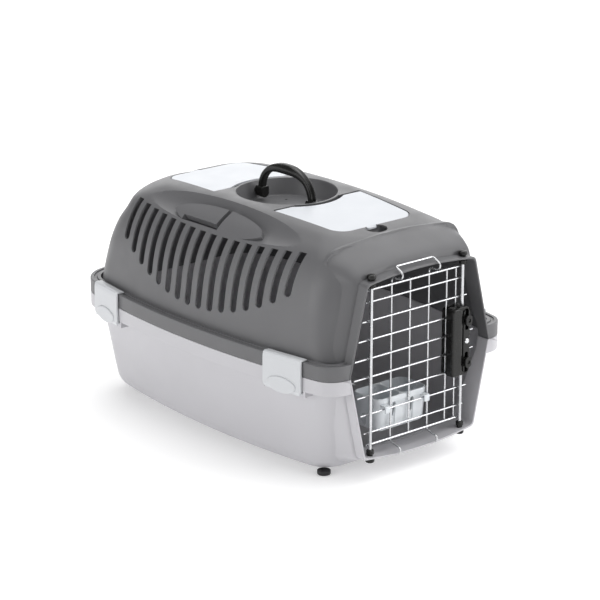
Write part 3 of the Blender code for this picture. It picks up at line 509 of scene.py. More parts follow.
def smooth(target, angle):
    """Merges doubled points and shades smooth, with edges sharper than the angle kept crisp."""
    bm = bmesh.new()
    bm.from_mesh(target.data)
    bmesh.ops.remove_doubles(bm, verts=bm.verts, dist=2e-6)
    bmesh.ops.dissolve_degenerate(bm, edges=bm.edges, dist=1e-6)
    for face in bm.faces:
        face.smooth = True
    for edge in bm.edges:
        edge.smooth = len(edge.link_faces) == 2 and edge.calc_face_angle(pi) < radians(angle)
    bm.to_mesh(target.data)
    bm.free()
    weigh = target.modifiers.new("even_shading", "WEIGHTED_NORMAL")
    weigh.keep_sharp = True
    weigh.weight = 60


def finish_piece(target, name, material, body, nodes, angle=30.0):
    """Names and shades a piece, gives it its material, ties it to its body and hides the nodes it stands
    for.
    """
    target.name = name
    target.data.name = name
    target.data.materials.clear()
    target.data.materials.append(material)
    smooth(target, angle)
    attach(target, body)
    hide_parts(*nodes)
    return target


# ---- Geometry Nodes ----


def node_tree(name, sizes):
    """Empty Geometry Nodes tree with a geometry input and output and named float or integer inputs."""
    tree = bpy.data.node_groups.new(name, "GeometryNodeTree")
    tree.interface.new_socket("Geometry", in_out="INPUT", socket_type="NodeSocketGeometry")
    for label, kind in sizes:
        tree.interface.new_socket(label, in_out="INPUT", socket_type=kind)
    tree.interface.new_socket("Geometry", in_out="OUTPUT", socket_type="NodeSocketGeometry")
    return tree, tree.nodes.new("NodeGroupInput"), tree.nodes.new("NodeGroupOutput")


def grown(tree, source, values, name):
    """Runs a tree on an object with its named inputs set, and returns the result as a plain mesh."""
    step = source.modifiers.new(name, "NODES")
    step.node_group = tree
    for item in tree.interface.items_tree:
        if item.in_out == "INPUT" and item.name in values:
            step[item.identifier] = values[item.name]
    return as_mesh(source, name)


FLOAT, INT, MATERIAL = "NodeSocketFloat", "NodeSocketInt", "NodeSocketMaterial"
MATHS, VECTOR, AXES = "ShaderNodeMath", "ShaderNodeCombineXYZ", "ShaderNodeSeparateXYZ"


def position(tree):
    """The x, y and z of each point, as sockets."""
    return add(tree, AXES, {0: add(tree, "GeometryNodeInputPosition")}).outputs


def copies_on_line(tree, size, line, name, value):
    """Real copies of the tree's input on a line's points, and the value that each point keeps by name."""
    marks = {"Geometry": line, "Name": name, "Value": value}
    marked = add(tree, "GeometryNodeStoreNamedAttribute", marks, data_type="FLOAT", domain="POINT")
    seed = {"Points": marked, "Instance": size["Geometry"]}
    real = {"Geometry": add(tree, "GeometryNodeInstanceOnPoints", seed)}
    kept = add(tree, "GeometryNodeInputNamedAttribute", {"Name": name}, data_type="FLOAT")
    return add(tree, "GeometryNodeRealizeInstances", real), kept


def painted(tree, geometry, size, result):
    """Ends a tree: its geometry gets the material and goes to the output."""
    coat = {"Geometry": geometry, "Material": size["Material"]}
    tree.links.new(add(tree, "GeometryNodeSetMaterial", coat).outputs[0], result.inputs["Geometry"])
    return tree


def vent_tree():
    """Copies one slot cutter along a side, and stretches each copy between its own two heights."""
    sizes = [("Count", INT), ("Pitch", FLOAT), ("Low", FLOAT), ("Low Rise", FLOAT)]
    sizes += [("High", FLOAT), ("High Rise", FLOAT), ("Material", MATERIAL)]
    tree, inputs, result = node_tree("slot_cutters", sizes)
    size = inputs.outputs
    gaps = add(tree, MATHS, {0: size["Count"], 1: 1.0}, operation="SUBTRACT")
    span = add(tree, MATHS, {0: gaps, 1: size["Pitch"]}, operation="MULTIPLY")
    reach = add(tree, MATHS, {0: span, 1: 0.5}, operation="MULTIPLY")
    start = add(tree, VECTOR, {"Y": add(tree, MATHS, {0: reach, 1: -1.0}, operation="MULTIPLY")})
    row = {"Count": size["Count"], "Start Location": start}
    row["Offset"] = add(tree, VECTOR, {"Y": size["Pitch"]})
    line = add(tree, "GeometryNodeMeshLine", row, mode="OFFSET")
    share = add(tree, MATHS, {0: position(tree)["Y"], 1: reach}, operation="DIVIDE")
    square = add(tree, MATHS, {0: share, 1: share}, operation="MULTIPLY")
    slots, rise = copies_on_line(tree, size, line, "rise", square)
    heights = []
    for level in ("Low", "High"):
        extra = add(tree, MATHS, {0: rise, 1: size[level + " Rise"]}, operation="MULTIPLY")
        heights.append(add(tree, MATHS, {0: size[level], 1: extra}, operation="ADD"))
    low, high = heights
    upper = add(tree, MATHS, {0: position(tree)["Z"], 1: 0.5}, operation="GREATER_THAN")
    tall = add(tree, MATHS, {0: high, 1: low}, operation="SUBTRACT")
    stretch = add(tree, MATHS, {0: tall, 1: 1.0}, operation="SUBTRACT")
    up = add(tree, MATHS, {0: upper, 1: stretch}, operation="MULTIPLY")
    lift = add(tree, VECTOR, {"Z": add(tree, MATHS, {0: low, 1: up}, operation="ADD")})
    lifted = add(tree, "GeometryNodeSetPosition", {"Geometry": slots, "Offset": lift})
    return painted(tree, lifted, size, result)


def ladder_tree():
    """Copies one round-ended wire up the door, and stretches each copy to the opening's width there."""
    sizes = [("Count", INT), ("First", FLOAT), ("Pitch", FLOAT), ("Middle", FLOAT), ("Half", FLOAT)]
    sizes += [("Slope Above", FLOAT), ("Slope Below", FLOAT), ("Depth", FLOAT), ("Material", MATERIAL)]
    tree, inputs, result = node_tree("wire_ladder", sizes)
    size = inputs.outputs
    row = {"Count": size["Count"]}
    row["Start Location"] = add(tree, VECTOR, {"Y": size["Depth"], "Z": size["First"]})
    row["Offset"] = add(tree, VECTOR, {"Z": size["Pitch"]})
    line = add(tree, "GeometryNodeMeshLine", row, mode="OFFSET")
    above = add(tree, MATHS, {0: position(tree)["Z"], 1: size["Middle"]}, operation="SUBTRACT")
    slopes = []
    for limit, slope in (("MAXIMUM", "Slope Above"), ("MINIMUM", "Slope Below")):
        part = add(tree, MATHS, {0: above, 1: 0.0}, operation=limit)
        slopes.append(add(tree, MATHS, {0: part, 1: size[slope]}, operation="MULTIPLY"))
    over, under = slopes
    wide = add(tree, MATHS, {0: size["Half"], 1: under}, operation="ADD")
    half = add(tree, MATHS, {0: wide, 1: over}, operation="SUBTRACT")
    wires, width = copies_on_line(tree, size, line, "half", half)
    hand = add(tree, MATHS, {0: position(tree)["X"]}, operation="SIGN")
    reach = add(tree, VECTOR, {"X": add(tree, MATHS, {0: hand, 1: width}, operation="MULTIPLY")})
    spread = add(tree, "GeometryNodeSetPosition", {"Geometry": wires, "Offset": reach})
    return painted(tree, spread, size, result)


def spring_tree():
    """Coil of round wire, standing on its start point."""
    sizes = [("Turns", FLOAT), ("Radius", FLOAT), ("Height", FLOAT), ("Wire Radius", FLOAT)]
    sizes += [("Material", MATERIAL)]
    tree, inputs, result = node_tree("coil_spring", sizes)
    size = inputs.outputs
    helix = {"Resolution": 28, "Rotations": size["Turns"], "Height": size["Height"]}
    helix |= {"Start Radius": size["Radius"], "End Radius": size["Radius"]}
    ring = {"Resolution": 10, "Radius": size["Wire Radius"]}
    sweep = {"Curve": add(tree, "GeometryNodeCurveSpiral", helix), "Fill Caps": True}
    sweep["Profile Curve"] = add(tree, "GeometryNodeCurvePrimitiveCircle", ring)
    wire = add(tree, "GeometryNodeCurveToMesh", sweep)
    real = add(tree, "GeometryNodeRealizeInstances", {"Geometry": wire})
    return painted(tree, real, size, result)


# ---- plan outlines of the body ----


def plan_half(half_width, front, back, front_radius, back_radius):
    """Right half of the barrel-shaped plan, from the front middle to the back middle."""

    def side_x(y):
        return half_width - BOW * (y / BOW_REACH) ** 2

    def side_turn(y):
        return atan(2 * BOW * abs(y) / BOW_REACH**2)

    low, high = front + front_radius, back - back_radius
    low_turn = side_turn(low - front_radius * sin(side_turn(low)))
    high_turn = side_turn(high + back_radius * sin(side_turn(high)))
    start, end = low - front_radius * sin(low_turn), high + back_radius * sin(high_turn)
    low_x = side_x(start) - front_radius * cos(low_turn)
    high_x = side_x(end) - back_radius * cos(high_turn)
    points = [(low_x * step / RING_END, front) for step in range(RING_END)]
    for step in range(RING_CORNER + 1):
        turn = pi / 2 + (low_turn - pi / 2) * step / RING_CORNER
        points.append((low_x + front_radius * cos(turn), low - front_radius * sin(turn)))
    for step in range(1, RING_SIDE):
        y = start + (end - start) * step / RING_SIDE
        points.append((side_x(y), y))
    for step in range(RING_CORNER + 1):
        turn = high_turn + (pi / 2 - high_turn) * step / RING_CORNER
        points.append((high_x + back_radius * cos(turn), high + back_radius * sin(turn)))
    points += [(high_x * (1 - step / RING_END), back) for step in range(1, RING_END + 1)]
    return points


def plan_ring(z, half_width, front, back, front_radius, back_radius, sag=0.0):
    right = plan_half(half_width, front, back, front_radius, back_radius)
    left = [(-x, y) for x, y in right[-2:0:-1]]
    return [Vector((x, y, z - sag * (y / SAG_REACH) ** 2)) for x, y in right + left]


def shrunk(level, by):
    """The same level drawn in by a wall thickness on every side."""
    z, half_width, front, back, front_radius, back_radius, *sag = level
    corners = (max(front_radius - by, 4.0), max(back_radius - by, 4.0))
    return (z, half_width - by, front + by, back - by, *corners, *sag)


def at_height(level, z):
    return plan_ring(z, *level[1:])


def finer(levels, steps):
    """Rows between the given levels, on a smooth curve through them."""
    along = [0.0]
    for low, high in zip(levels, levels[1:]):
        along.append(along[-1] + max((Vector(low[:3]) - Vector(high[:3])).length, 1e-6))
    slopes = []
    for i, row in enumerate(levels):
        before, after = max(i - 1, 0), min(i + 1, len(levels) - 1)
        run_before, run_after = along[i] - along[before], along[after] - along[i]
        slope = []
        for k, value in enumerate(row):
            back = (value - levels[before][k]) / run_before if run_before else None
            ahead = (levels[after][k] - value) / run_after if run_after else None
            if back is None or ahead is None:
                slope.append(ahead if back is None else back)
            else:
                slope.append((back * run_after + ahead * run_before) / (run_before + run_after))
        slopes.append(slope)
    rows = []
    for i in range(len(levels) - 1):
        run = along[i + 1] - along[i]
        for step in range(steps):
            t = step / steps
            rows.append(
                tuple(
                    (2 * t**3 - 3 * t**2 + 1) * a
                    + (t**3 - 2 * t**2 + t) * run * m
                    + (3 * t**2 - 2 * t**3) * b
                    + (t**3 - t**2) * run * n
                    for a, m, b, n in zip(levels[i], slopes[i], levels[i + 1], slopes[i + 1])
                )
            )
    rows.append(tuple(levels[-1]))
    return rows


def deck_z(y):
    return DECK_Z - DECK_SAG * (y / SAG_REACH) ** 2


def deck_rings(ring, steps):
    """Rings that carry the deck from the last outline in to its middle."""
    rings = []
    for step in range(1, steps + 1):
        share = 1 - step / (steps + 0.5)
        inner = []
        for point in ring:
            y = point.y * share - 15.0 * (1 - share)
            inner.append(Vector((point.x * share, y, deck_z(y))))
        rings.append(inner)
    return rings


# ---- door collar ----


def opening_outline(grow=0.0):
    """The six-sided door opening in (x, z), with a bowed top and sill."""
    shares = [step / 7 for step in range(7)]
    sill = [(OPENING_SILL * s, OPENING_SILL_Z - SILL_SAG * (1 - s * s) - grow) for s in shares]
    arch = [(OPENING_TOP * s, OPENING_TOP_Z + ARCH_RISE * (1 - s * s) + grow) for s in shares[::-1]]
    sides = [
        (OPENING_SILL + grow, OPENING_SILL_Z - grow),
        (OPENING_MID + grow, OPENING_MID_Z),
        (OPENING_TOP + grow, OPENING_TOP_Z + grow),
    ]
    right = sill + sides + arch
    radii = [0.0] * 7 + [9.0, 12.0, 9.0] + [0.0] * 7
    left = [(-x, z) for x, z in right[-2:0:-1]]
    return rounded(right + left, radii + radii[-2:0:-1], steps=6)


def collar(low, high):
    """The part of the door collar between two heights, with an eased front edge, before it is bored out."""
    profile = ((-258.0, 0.0), (LIP_Y + 1.4, 0.0), (LIP_Y + 0.5, -0.35), (LIP_Y, -1.1))
    rings = [
        [Vector((x, y, z)) for x, z in opening_outline(COLLAR_WALL + inset)] for y, inset in profile
    ]
    slab = box((-260, LIP_Y - 5, low), (260, -200, high), "slab")
    return combine(loft(rings, "collar"), [slab], "INTERSECT")


def door_cut():
    """Bore of the door opening, flared where it meets the collar's front edge."""
    profile = ((LIP_Y - 20, 1.1), (LIP_Y, 1.1), (LIP_Y + 0.5, 0.35), (LIP_Y + 1.4, 0.0), (-235.0, 0.0))
    rings = [[Vector((x, y, z)) for x, z in opening_outline(grow)] for y, grow in profile]
    return loft(rings, "door_cut")


def fillet(skin, low, high):
    """Roll between the collar and the body's front wall: wide over the hood, and narrow at the sides."""
    shares = (1.0, 0.93, 0.86, 0.78, 0.7, 0.62, 0.54, 0.46, 0.38, 0.3, 0.22, 0.14, 0.07, 0.02)
    ledge_y, sunk = -281.5, 0.15  # the ledge stays behind the bushings; the roll starts just inside the wall
    narrow, widening = 15.0, 23.0  # the roll's width at the sides, and how much more it has over the hood
    deepest_y = -236.0  # how far back the wall is followed
    rolled = 0.84  # share of the width within which the roll comes forward
    outline = opening_outline(COLLAR_WALL)
    count = len(outline)

    def wall_y(x, z):
        hit = skin.ray_cast(Vector((x, -400.0, z)) * MM, Vector((0, 1, 0)))[0]
        return min(hit.y / MM, deepest_y) if hit else deepest_y

    rings = [[] for _ in range(len(shares) + 4)]
    for i, (x, z) in enumerate(outline):
        before, after = outline[i - 1], outline[(i + 1) % count]
        along = Vector((after[0] - before[0], after[1] - before[1])).normalized()
        normal = Vector((along.y, -along.x))
        over = min(max(normal.y, 0.0), 1.0)
        width = narrow + widening * over * over * (3 - 2 * over)
        bulge = wall_y(x, z) - ledge_y
        points = [(width, wall_y(x + normal.x * width, z + normal.y * width) + 6.0)]
        for share in shares:
            way = min((1 - share) / rolled, 1.0)
            rise = bulge * way * way * (3 - 2 * way)
            y = wall_y(x + normal.x * width * share, z + normal.y * width * share)
            points.append((width * share, y + sunk * share - rise))
        points += [(0.0, -291.0), (-2.0, -291.0), (-2.0, points[0][1])]
        for ring, (grow, y) in zip(rings, points):
            ring.append(Vector((x + normal.x * grow, y, z + normal.y * grow)))
    made = loft(rings, "fillet", looped=True)
    slab = box((-260, -400, low), (260, -200, high), "slab")
    return combine(made, [slab], "INTERSECT")


def skin_of(target):
    """Ray-casting copy of an object's mesh."""
    vertices = [vertex.co.copy() for vertex in target.data.vertices]
    return BVHTree.FromPolygons(vertices, [tuple(face.vertices) for face in target.data.polygons])


# ---- top shell ----


def scoop(side, grow, name):
    """Long concave lens cut along one upper side."""
    bm = bmesh.new()
    bmesh.ops.create_uvsphere(bm, u_segments=96, v_segments=72, radius=1.0)
    bmesh.ops.rotate(bm, cent=(0, 0, 0), matrix=Matrix.Rotation(pi / 2, 3, "X"), verts=bm.verts)
    size = (SCOOP_RADIUS + grow, SCOOP_HALF_LENGTH + grow, SCOOP_RADIUS + grow)
    bmesh.ops.scale(bm, vec=size, verts=bm.verts)
    bmesh.ops.translate(bm, vec=(side * SCOOP_X, 0, SCOOP_Z), verts=bm.verts)
    return object_from(bm, name)


def lid_outline(side, grow=0.0, inner_grow=0.0, tongue=0.0, radius=LID_ARC_RADIUS):
    """Outline of a lid in (x, y) for side -1 (front) or +1 (rear); the inner edge follows the recess."""
    inner = LID_INNER_Y - inner_grow
    outer = LID_OUTER_Y + grow
    reach = sqrt(radius**2 - inner**2)
    corners = [(LID_OUTER_HALF + grow, outer), (LID_INNER_HALF + grow, inner)]
    right = rounded([(0, outer), *corners, (0, inner)], [0, LID_CORNER, 3.0, 0], steps=8)[1:-1]
    spread = atan2(reach, inner)
    arc = [
        (radius * sin(spread * (1 - step / 12)), radius * cos(spread * (1 - step / 12)))
        for step in range(13)
    ]
    left = [(-x, y) for x, y in (right + arc)[-2::-1]]
    edge = []
    if tongue:
        near, far = NOTCH_X - TONGUE_HALF - grow, NOTCH_X + TONGUE_HALF + grow
        tip = outer + tongue
        edge = [(near, outer), (near, tip), (far, tip), (far, outer)]
        edge = rounded(edge, [2.0, 5.0, 5.0, 2.0], 5)
    return [(x, side * y) for x, y in edge + right + arc + left]


def sloped(rings, name):
    """Closed loft of (outline, z) rings, sliced across and bent to follow the sag of the deck."""
    bm = lofted([[Vector((x, y, z)) for x, y in outline] for outline, z in rings])
    low = min(vertex.co.y for vertex in bm.verts)
    high = max(vertex.co.y for vertex in bm.verts)
    for step in range(1, 24):
        cut = low + (high - low) * step / 24
        whole = list(bm.verts) + list(bm.edges) + list(bm.faces)
        bmesh.ops.bisect_plane(bm, geom=whole, dist=1e-4, plane_co=(0, cut, 0), plane_no=(0, 1, 0))
    for vertex in bm.verts:
        vertex.co.z += deck_z(vertex.co.y) - DECK_Z
    return object_from(bm, name)


def sloped_prism(outline, top, bottom, name):
    return sloped([(outline, bottom), (outline, top)], name)


def recess(grow, floor, top):
    profile = (
        (RECESS_FLOOR_RADIUS - 6, floor),
        (RECESS_FLOOR_RADIUS - 2.4, floor + 0.5),
        (RECESS_FLOOR_RADIUS, floor + 3),
        (RECESS_RADIUS - 1.2, top - 5.6),
        (RECESS_RADIUS - 0.2, top - 3.6),
        (RECESS_RADIUS + 0.8, top - 2.9),
        (RECESS_RADIUS + 1.2, top),
    )
    rings = [
        [Vector((x, y, z)) for x, y in circle(radius + grow, count=128)] for radius, z in profile
    ]
    return loft(rings, "recess")


def vent_cutters(side, vents, material):
    """All the slots of one side, made by the slot tree from one round-bottomed cutter."""
    half = vents.width / MM / 2
    bottom = [
        (half * cos(pi + pi * step / 12), half + half * sin(pi + pi * step / 12))
        for step in range(13)
    ]
    near, far = sorted((side * 116.0, side * 215.0))
    cutter = prism(bottom + [(half, 1000.0), (-half, 1000.0)], "X", near, far, "slot")
    sizes = {"Count": vents.count, "Pitch": vents.pitch, "Low": vents.low, "Low Rise": vents.low_rise}
    sizes |= {"High": vents.high, "High Rise": vents.high_rise, "Material": material}
    return grown(vent_tree(), cutter, sizes, "slots")


def bridge_frame(side):
    """Matrix, in millimetres, whose X runs down the scoop, Y along the body and Z out of the dome."""
    tilt = Matrix.Rotation(side * radians(31), 4, "Y")
    mirror = Matrix.Rotation(0 if side > 0 else pi, 4, "Z")
    return Matrix.Translation((side * 122.0, 0.0, 334.0)) @ tilt @ mirror


def belt_pad(side):
    """Leaf-shaped block taken out of the scoop's cutter, so that a pad for a seat belt stays."""
    leaf = []
    for step in range(33):
        share = -1 + step / 16
        leaf.append((PAD_MIDDLE + PAD_LOWER * (1 - share**4), share * PAD_HALF_LENGTH))
    for step in range(1, 32):
        share = 1 - step / 16
        leaf.append((PAD_MIDDLE - PAD_UPPER * sqrt(1 - share**2), share * PAD_HALF_LENGTH))
    return moved(prism(leaf, "Z", -30, 60, "pad"), bridge_frame(side))


def belt_slots(side):
    """The slot along the pad's lower edge and the one across it, where the belt goes in."""
    spans = {"lengthwise": ((17.0, 25.5), (-72.0, 6.0)), "across": ((-16.0, 25.5), (4.0, 12.0))}
    slots = []
    for name, (down, along) in spans.items():
        slots.append(box((down[0], along[0], -13.0), (down[1], along[1], 40.0), name))
    return [moved(slot, bridge_frame(side)) for slot in slots]


def rim_band(low, high, upper, name):
    """Skirt and ledge of one rim, open underneath; the upper one has a groove along its ledge."""
    if upper:
        profile = [
            (16.5, low), (16.5, high), (11.2, high), (10.7, high - 0.5), (10.2, high - 1.8),
            (6.6, high - 1.8), (6.1, high - 0.5), (5.6, high), (1.7, high), (0.9, high - 0.15),
            (0.25, high - 0.75), (0.0, high - 1.7), (0.0, low + 0.4), (0.4, low),
            (WALL, low), (WALL, high - 4.6), (13.6, high - 4.6), (13.6, low),
        ]
    else:
        profile = [
            (16.5, low), (16.5, high), (0.5, high), (0.0, high - 0.5), (0.0, low + 1.3),
            (0.35, low + 0.4), (1.1, low), (WALL, low), (WALL, high - WALL),
            (13.6, high - WALL), (13.6, low),
        ]
    return loft([at_height(shrunk(RIM_LEVEL, inset), z) for inset, z in profile], name, looped=True)


def finger_notch(side):
    """Egg-shaped dip past a lid's outer edge, deep enough to open into the hollow under the deck."""
    bm = bmesh.new()
    bmesh.ops.create_uvsphere(bm, u_segments=40, v_segments=24, radius=1.0)
    bmesh.ops.scale(bm, vec=(18.0, 13.5, 12.0), verts=bm.verts)
    y = LID_OUTER_Y + 12.0
    bmesh.ops.translate(bm, vec=(NOTCH_X, side * y, deck_z(y) - 2.0), verts=bm.verts)
    return object_from(bm, "notch")


def build_top_shell(vents, colours):
    material = shell_plastic(colours)
    levels = finer(TOP_LEVELS, 6)
    dome = [plan_ring(*level) for level in levels]
    base = [at_height(TOP_LEVELS[0], JOIN_Z + GAP), at_height(TOP_LEVELS[0], 176.0)]
    shell = loft(base + dome + deck_rings(dome[-1], 8), "top_shell_moulding")
    skin = skin_of(shell)

    hollow = [plan_ring(*shrunk(level, WALL)) for level in finer(TOP_LEVELS, 3)]
    hollow += deck_rings(hollow[-1], 3)
    for ring in hollow[1:]:
        for point in ring:
            point.z -= WALL * min(1.0, max(0.0, (point.z - 230.0) / 110.0))
    void = loft([at_height(shrunk(TOP_LEVELS[0], WALL), JOIN_Z - 20)] + hollow, "void")

    ends = (-1, 1)
    pockets = [
        sloped_prism(
            lid_outline(end, LID_GAP + WALL, LID_INNER_GAP + WALL, radius=SEAT_ARC_RADIUS - WALL),
            DECK_Z + 5,
            DECK_Z - WELL_DEPTH - WALL,
            "pocket",
        )
        for end in ends
    ]
    pockets.append(recess(WALL, RECESS_FLOOR_Z - WALL, DECK_Z + 3))
    pockets += [scoop(side, WALL, "scoop_skin") for side in ends]
    void = combine(void, pockets, "DIFFERENCE")

    scoops = [combine(scoop(side, 0.0, "scoop"), [belt_pad(side)], "DIFFERENCE") for side in ends]
    shell = combine(shell, scoops, "DIFFERENCE")
    shell = combine(shell, [rim_band(JOIN_Z + GAP, JOIN_Z + TOP_BAND, True, "band")], "UNION")
    shell = combine(shell, [collar(JOIN_Z + GAP, 330.0)], "UNION")
    shell = combine(shell, [fillet(skin, JOIN_Z + GAP, 352.0)], "UNION")
    shell = combine(shell, [void], "DIFFERENCE")

    cuts = [door_cut(), recess(0.0, RECESS_FLOOR_Z, DECK_Z + 3), *belt_slots(-1), *belt_slots(1)]
    for end in ends:
        seat = lid_outline(end, LID_GAP, LID_INNER_GAP, TONGUE, SEAT_ARC_RADIUS)
        well = lid_outline(end, -LID_LEDGE, LID_INNER_GAP, radius=SEAT_ARC_RADIUS)
        cuts.append(sloped_prism(seat, DECK_Z + 5, DECK_Z - LID_THICK - 1.2, "lid_seat"))
        cuts.append(sloped_prism(well, DECK_Z, DECK_Z - WELL_DEPTH, "well"))
        cuts.append(finger_notch(end))
        for side in ends:
            pegs = circle(LID_PEG_RADIUS + GAP, (end * LID_AXIS_Y, LID_AXIS_Z), 24)
            span = sorted((side * (LID_INNER_HALF - 4), side * (LID_INNER_HALF + LID_PEG_LENGTH + 0.4)))
            cuts.append(prism(pegs, "X", *span, "peg_hole"))
            x_near, x_far = sorted(side * (LID_INNER_HALF + reach) for reach in EAR_ROOM_X)
            y_near, y_far = sorted(end * (LID_AXIS_Y + reach) for reach in EAR_ROOM_Y)
            z_near, z_far = (LID_AXIS_Z + reach for reach in EAR_ROOM_Z)
            cuts.append(box((x_near, y_near, z_near), (x_far, y_far, z_far), "ear_room"))
        pin = circle(HANDLE_PIN_RADIUS + GAP, (0.0, HANDLE_PIVOT_Z), 24)
        cuts.append(prism(pin, "Y", *sorted((end * 66.0, end * (HANDLE_PIN_TIP + 0.6))), "pin_hole"))
    cuts.append(prism(circle(2.2, (29.0, 36.0), 24), "Z", RECESS_FLOOR_Z - 8, RECESS_FLOOR_Z + 5, "drain"))
    cuts += [vent_cutters(side, vents, material) for side in ends]
    for x in (-HINGE_X, HINGE_X):
        cuts.append(prism(circle(BUSHING_HOLE, (x, ROD_Y), 32), "Z", 285, 320, "bushing_hole"))
    shell = combine(shell, cuts, "DIFFERENCE")
    finish_piece(shell, "top_shell_moulding", material, "carrier", ["top_shell"])


# ---- bottom tray and feet ----


def clip_frame(end, side):
    """Matrix from a clip's own frame (x outward from the rim, y along it) to the body, in mm."""
    y = end * CLIP_Y
    half_width = RIM_LEVEL[1] - BOW * (y / BOW_REACH) ** 2
    turn = atan(2 * BOW * y / BOW_REACH**2)
    mirror = Matrix.Rotation(0 if side > 0 else pi, 4, "Z")
    heading = Matrix.Rotation(side * turn, 4, "Z")
    return Matrix.Translation((side * half_width, y, 0)) @ heading @ mirror


def build_tray(colours):
    material = tray_plastic(colours)
    levels = finer(TRAY_LEVELS, 6)
    rings = [plan_ring(*level) for level in levels]
    tray = loft(rings + [at_height(TRAY_LEVELS[-1], JOIN_Z - GAP)], "bottom_tray_moulding")
    skin = skin_of(tray)
    tray = combine(tray, [rim_band(JOIN_Z - TRAY_BAND, JOIN_Z - GAP, False, "band")], "UNION")
    tray = combine(tray, [collar(0.0, JOIN_Z - GAP)], "UNION")
    tray = combine(tray, [fillet(skin, 0.0, JOIN_Z - GAP)], "UNION")
    lugs = []
    for end in (-1, 1):
        for side in (-1, 1):
            for tip in (-1, 1):
                near, far = sorted((tip * (CLIP_LENGTH / 2 + 0.5), tip * (CLIP_LENGTH / 2 + 5.0)))
                lug = box((-20.5, near, CLIP_PIVOT_Z - 4), (-0.6, far, CLIP_PIVOT_Z + 7), "lug")
                lugs.append(moved(lug, clip_frame(end, side)))
    tray = combine(tray, lugs, "UNION")
    hollow = [plan_ring(*shrunk(level, WALL)) for level in finer(TRAY_LEVELS, 3)]
    for ring in hollow:
        for point in ring:
            point.z += WALL * max(0.0, 1.0 - (point.z - TRAY_FLOOR_Z) / 40.0)
    void = loft(hollow + [at_height(shrunk(TRAY_LEVELS[-1], WALL), JOIN_Z + 20)], "void")
    cuts = [void, door_cut()]
    for end in (-1, 1):
        for side in (-1, 1):
            peg = circle(PEG_RADIUS + GAP, (-CLIP_PIVOT_IN, CLIP_PIVOT_Z), 24)
            for tip in (-1, 1):
                span = sorted((tip * (CLIP_LENGTH / 2 - 1), tip * (CLIP_LENGTH / 2 + PEG_LENGTH + 0.8)))
                cuts.append(moved(prism(peg, "Y", *span, "socket"), clip_frame(end, side)))
    for x in (-HINGE_X, HINGE_X):
        cuts.append(prism(circle(BUSHING_HOLE, (x, ROD_Y), 32), "Z", 20, 50, "bushing_hole"))
    tray = combine(tray, cuts, "DIFFERENCE")
    finish_piece(tray, "bottom_tray_moulding", material, "carrier", ["bottom_tray"])


def build_feet(colours):
    """Four round feet with an eased tread and a dished middle."""
    profile = [
        (3.0, 1.2), (5.6, 1.0), (6.4, 0.2), (8.2, 0.0), (9.3, 0.5), (FOOT_RADIUS, 1.8),
        (FOOT_RADIUS, TRAY_FLOOR_Z - GAP - 0.5), (FOOT_RADIUS - 0.5, TRAY_FLOOR_Z - GAP),
    ]
    for node in ("foot_front_left", "foot_front_right", "foot_rear_left", "foot_rear_right"):
        low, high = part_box(node)
        centre = ((low.x + high.x) / 2 / MM, (low.y + high.y) / 2 / MM)
        foot = turned(profile, centre, node)
        finish_piece(foot, node + "_pad", foot_rubber(colours), "carrier", [node])


# ---- clips, lids and handle ----


def build_clips(colours):
    material = clip_plastic(colours)
    top = JOIN_Z + TOP_BAND + 0.5
    corners = [
        (-10.0, top), (0.7, top), (0.7, 143.0), (-2.0, 140.5), (-2.0, 138.0), (1.6, 136.2),
        (4.0, 142.0), (4.2, 160.0), (3.7, 184.0), (2.4, 189.6), (-0.6, top + 2.6), (-10.0, top + 1.8),
    ]
    profile = rounded(corners, [0.5, 0.3, 0.6, 0.5, 1.0, 1.4, 3.0, 6.0, 3.0, 2.0, 2.0, 0.6], 4)
    half = CLIP_LENGTH / 2
    # the oval finger tab: share of its size, and how far out of the rim
    tab = ((1.0, 1.0), (1.0, 4.6), (0.985, 5.4), (0.94, 6.0), (0.86, 6.3), (0.6, 6.1), (0.3, 6.0))
    for end, where in ((-1, "front"), (1, "rear")):
        for side, hand in ((-1, "left"), (1, "right")):
            node = f"clip_{where}_{hand}"
            clip = prism(profile, "Y", -half, half, node, 0.5)
            face = rounded(rectangle(-half - 1, half + 1, 130.0, 200.0), [22.0, 22.0, 4.0, 4.0])
            clip = combine(clip, [prism(face, "X", -20.0, 20.0, "face")], "INTERSECT")
            centre = (-CLIP_PIVOT_IN, CLIP_PIVOT_Z)
            barrel = prism(circle(3.0, centre, 32), "Y", -half, half, "barrel")
            pegs = prism(circle(PEG_RADIUS, centre, 24), "Y", -half - PEG_LENGTH, half + PEG_LENGTH, "pegs")
            rings = []
            for reach, out in tab:
                oval = [(27.0 * reach * cos(a), 12.0 * reach * sin(a)) for a in turns(64)]
                rings.append([Vector((out, y, 147.5 + z)) for y, z in oval])
            clip = combine(clip, [barrel, pegs, loft(rings, "thumb")], "UNION")
            moved(clip, clip_frame(end, side))
            finish_piece(clip, node + "_snap", material, node, [node], 40.0)


def turns(count):
    return [2 * pi * step / count for step in range(count)]


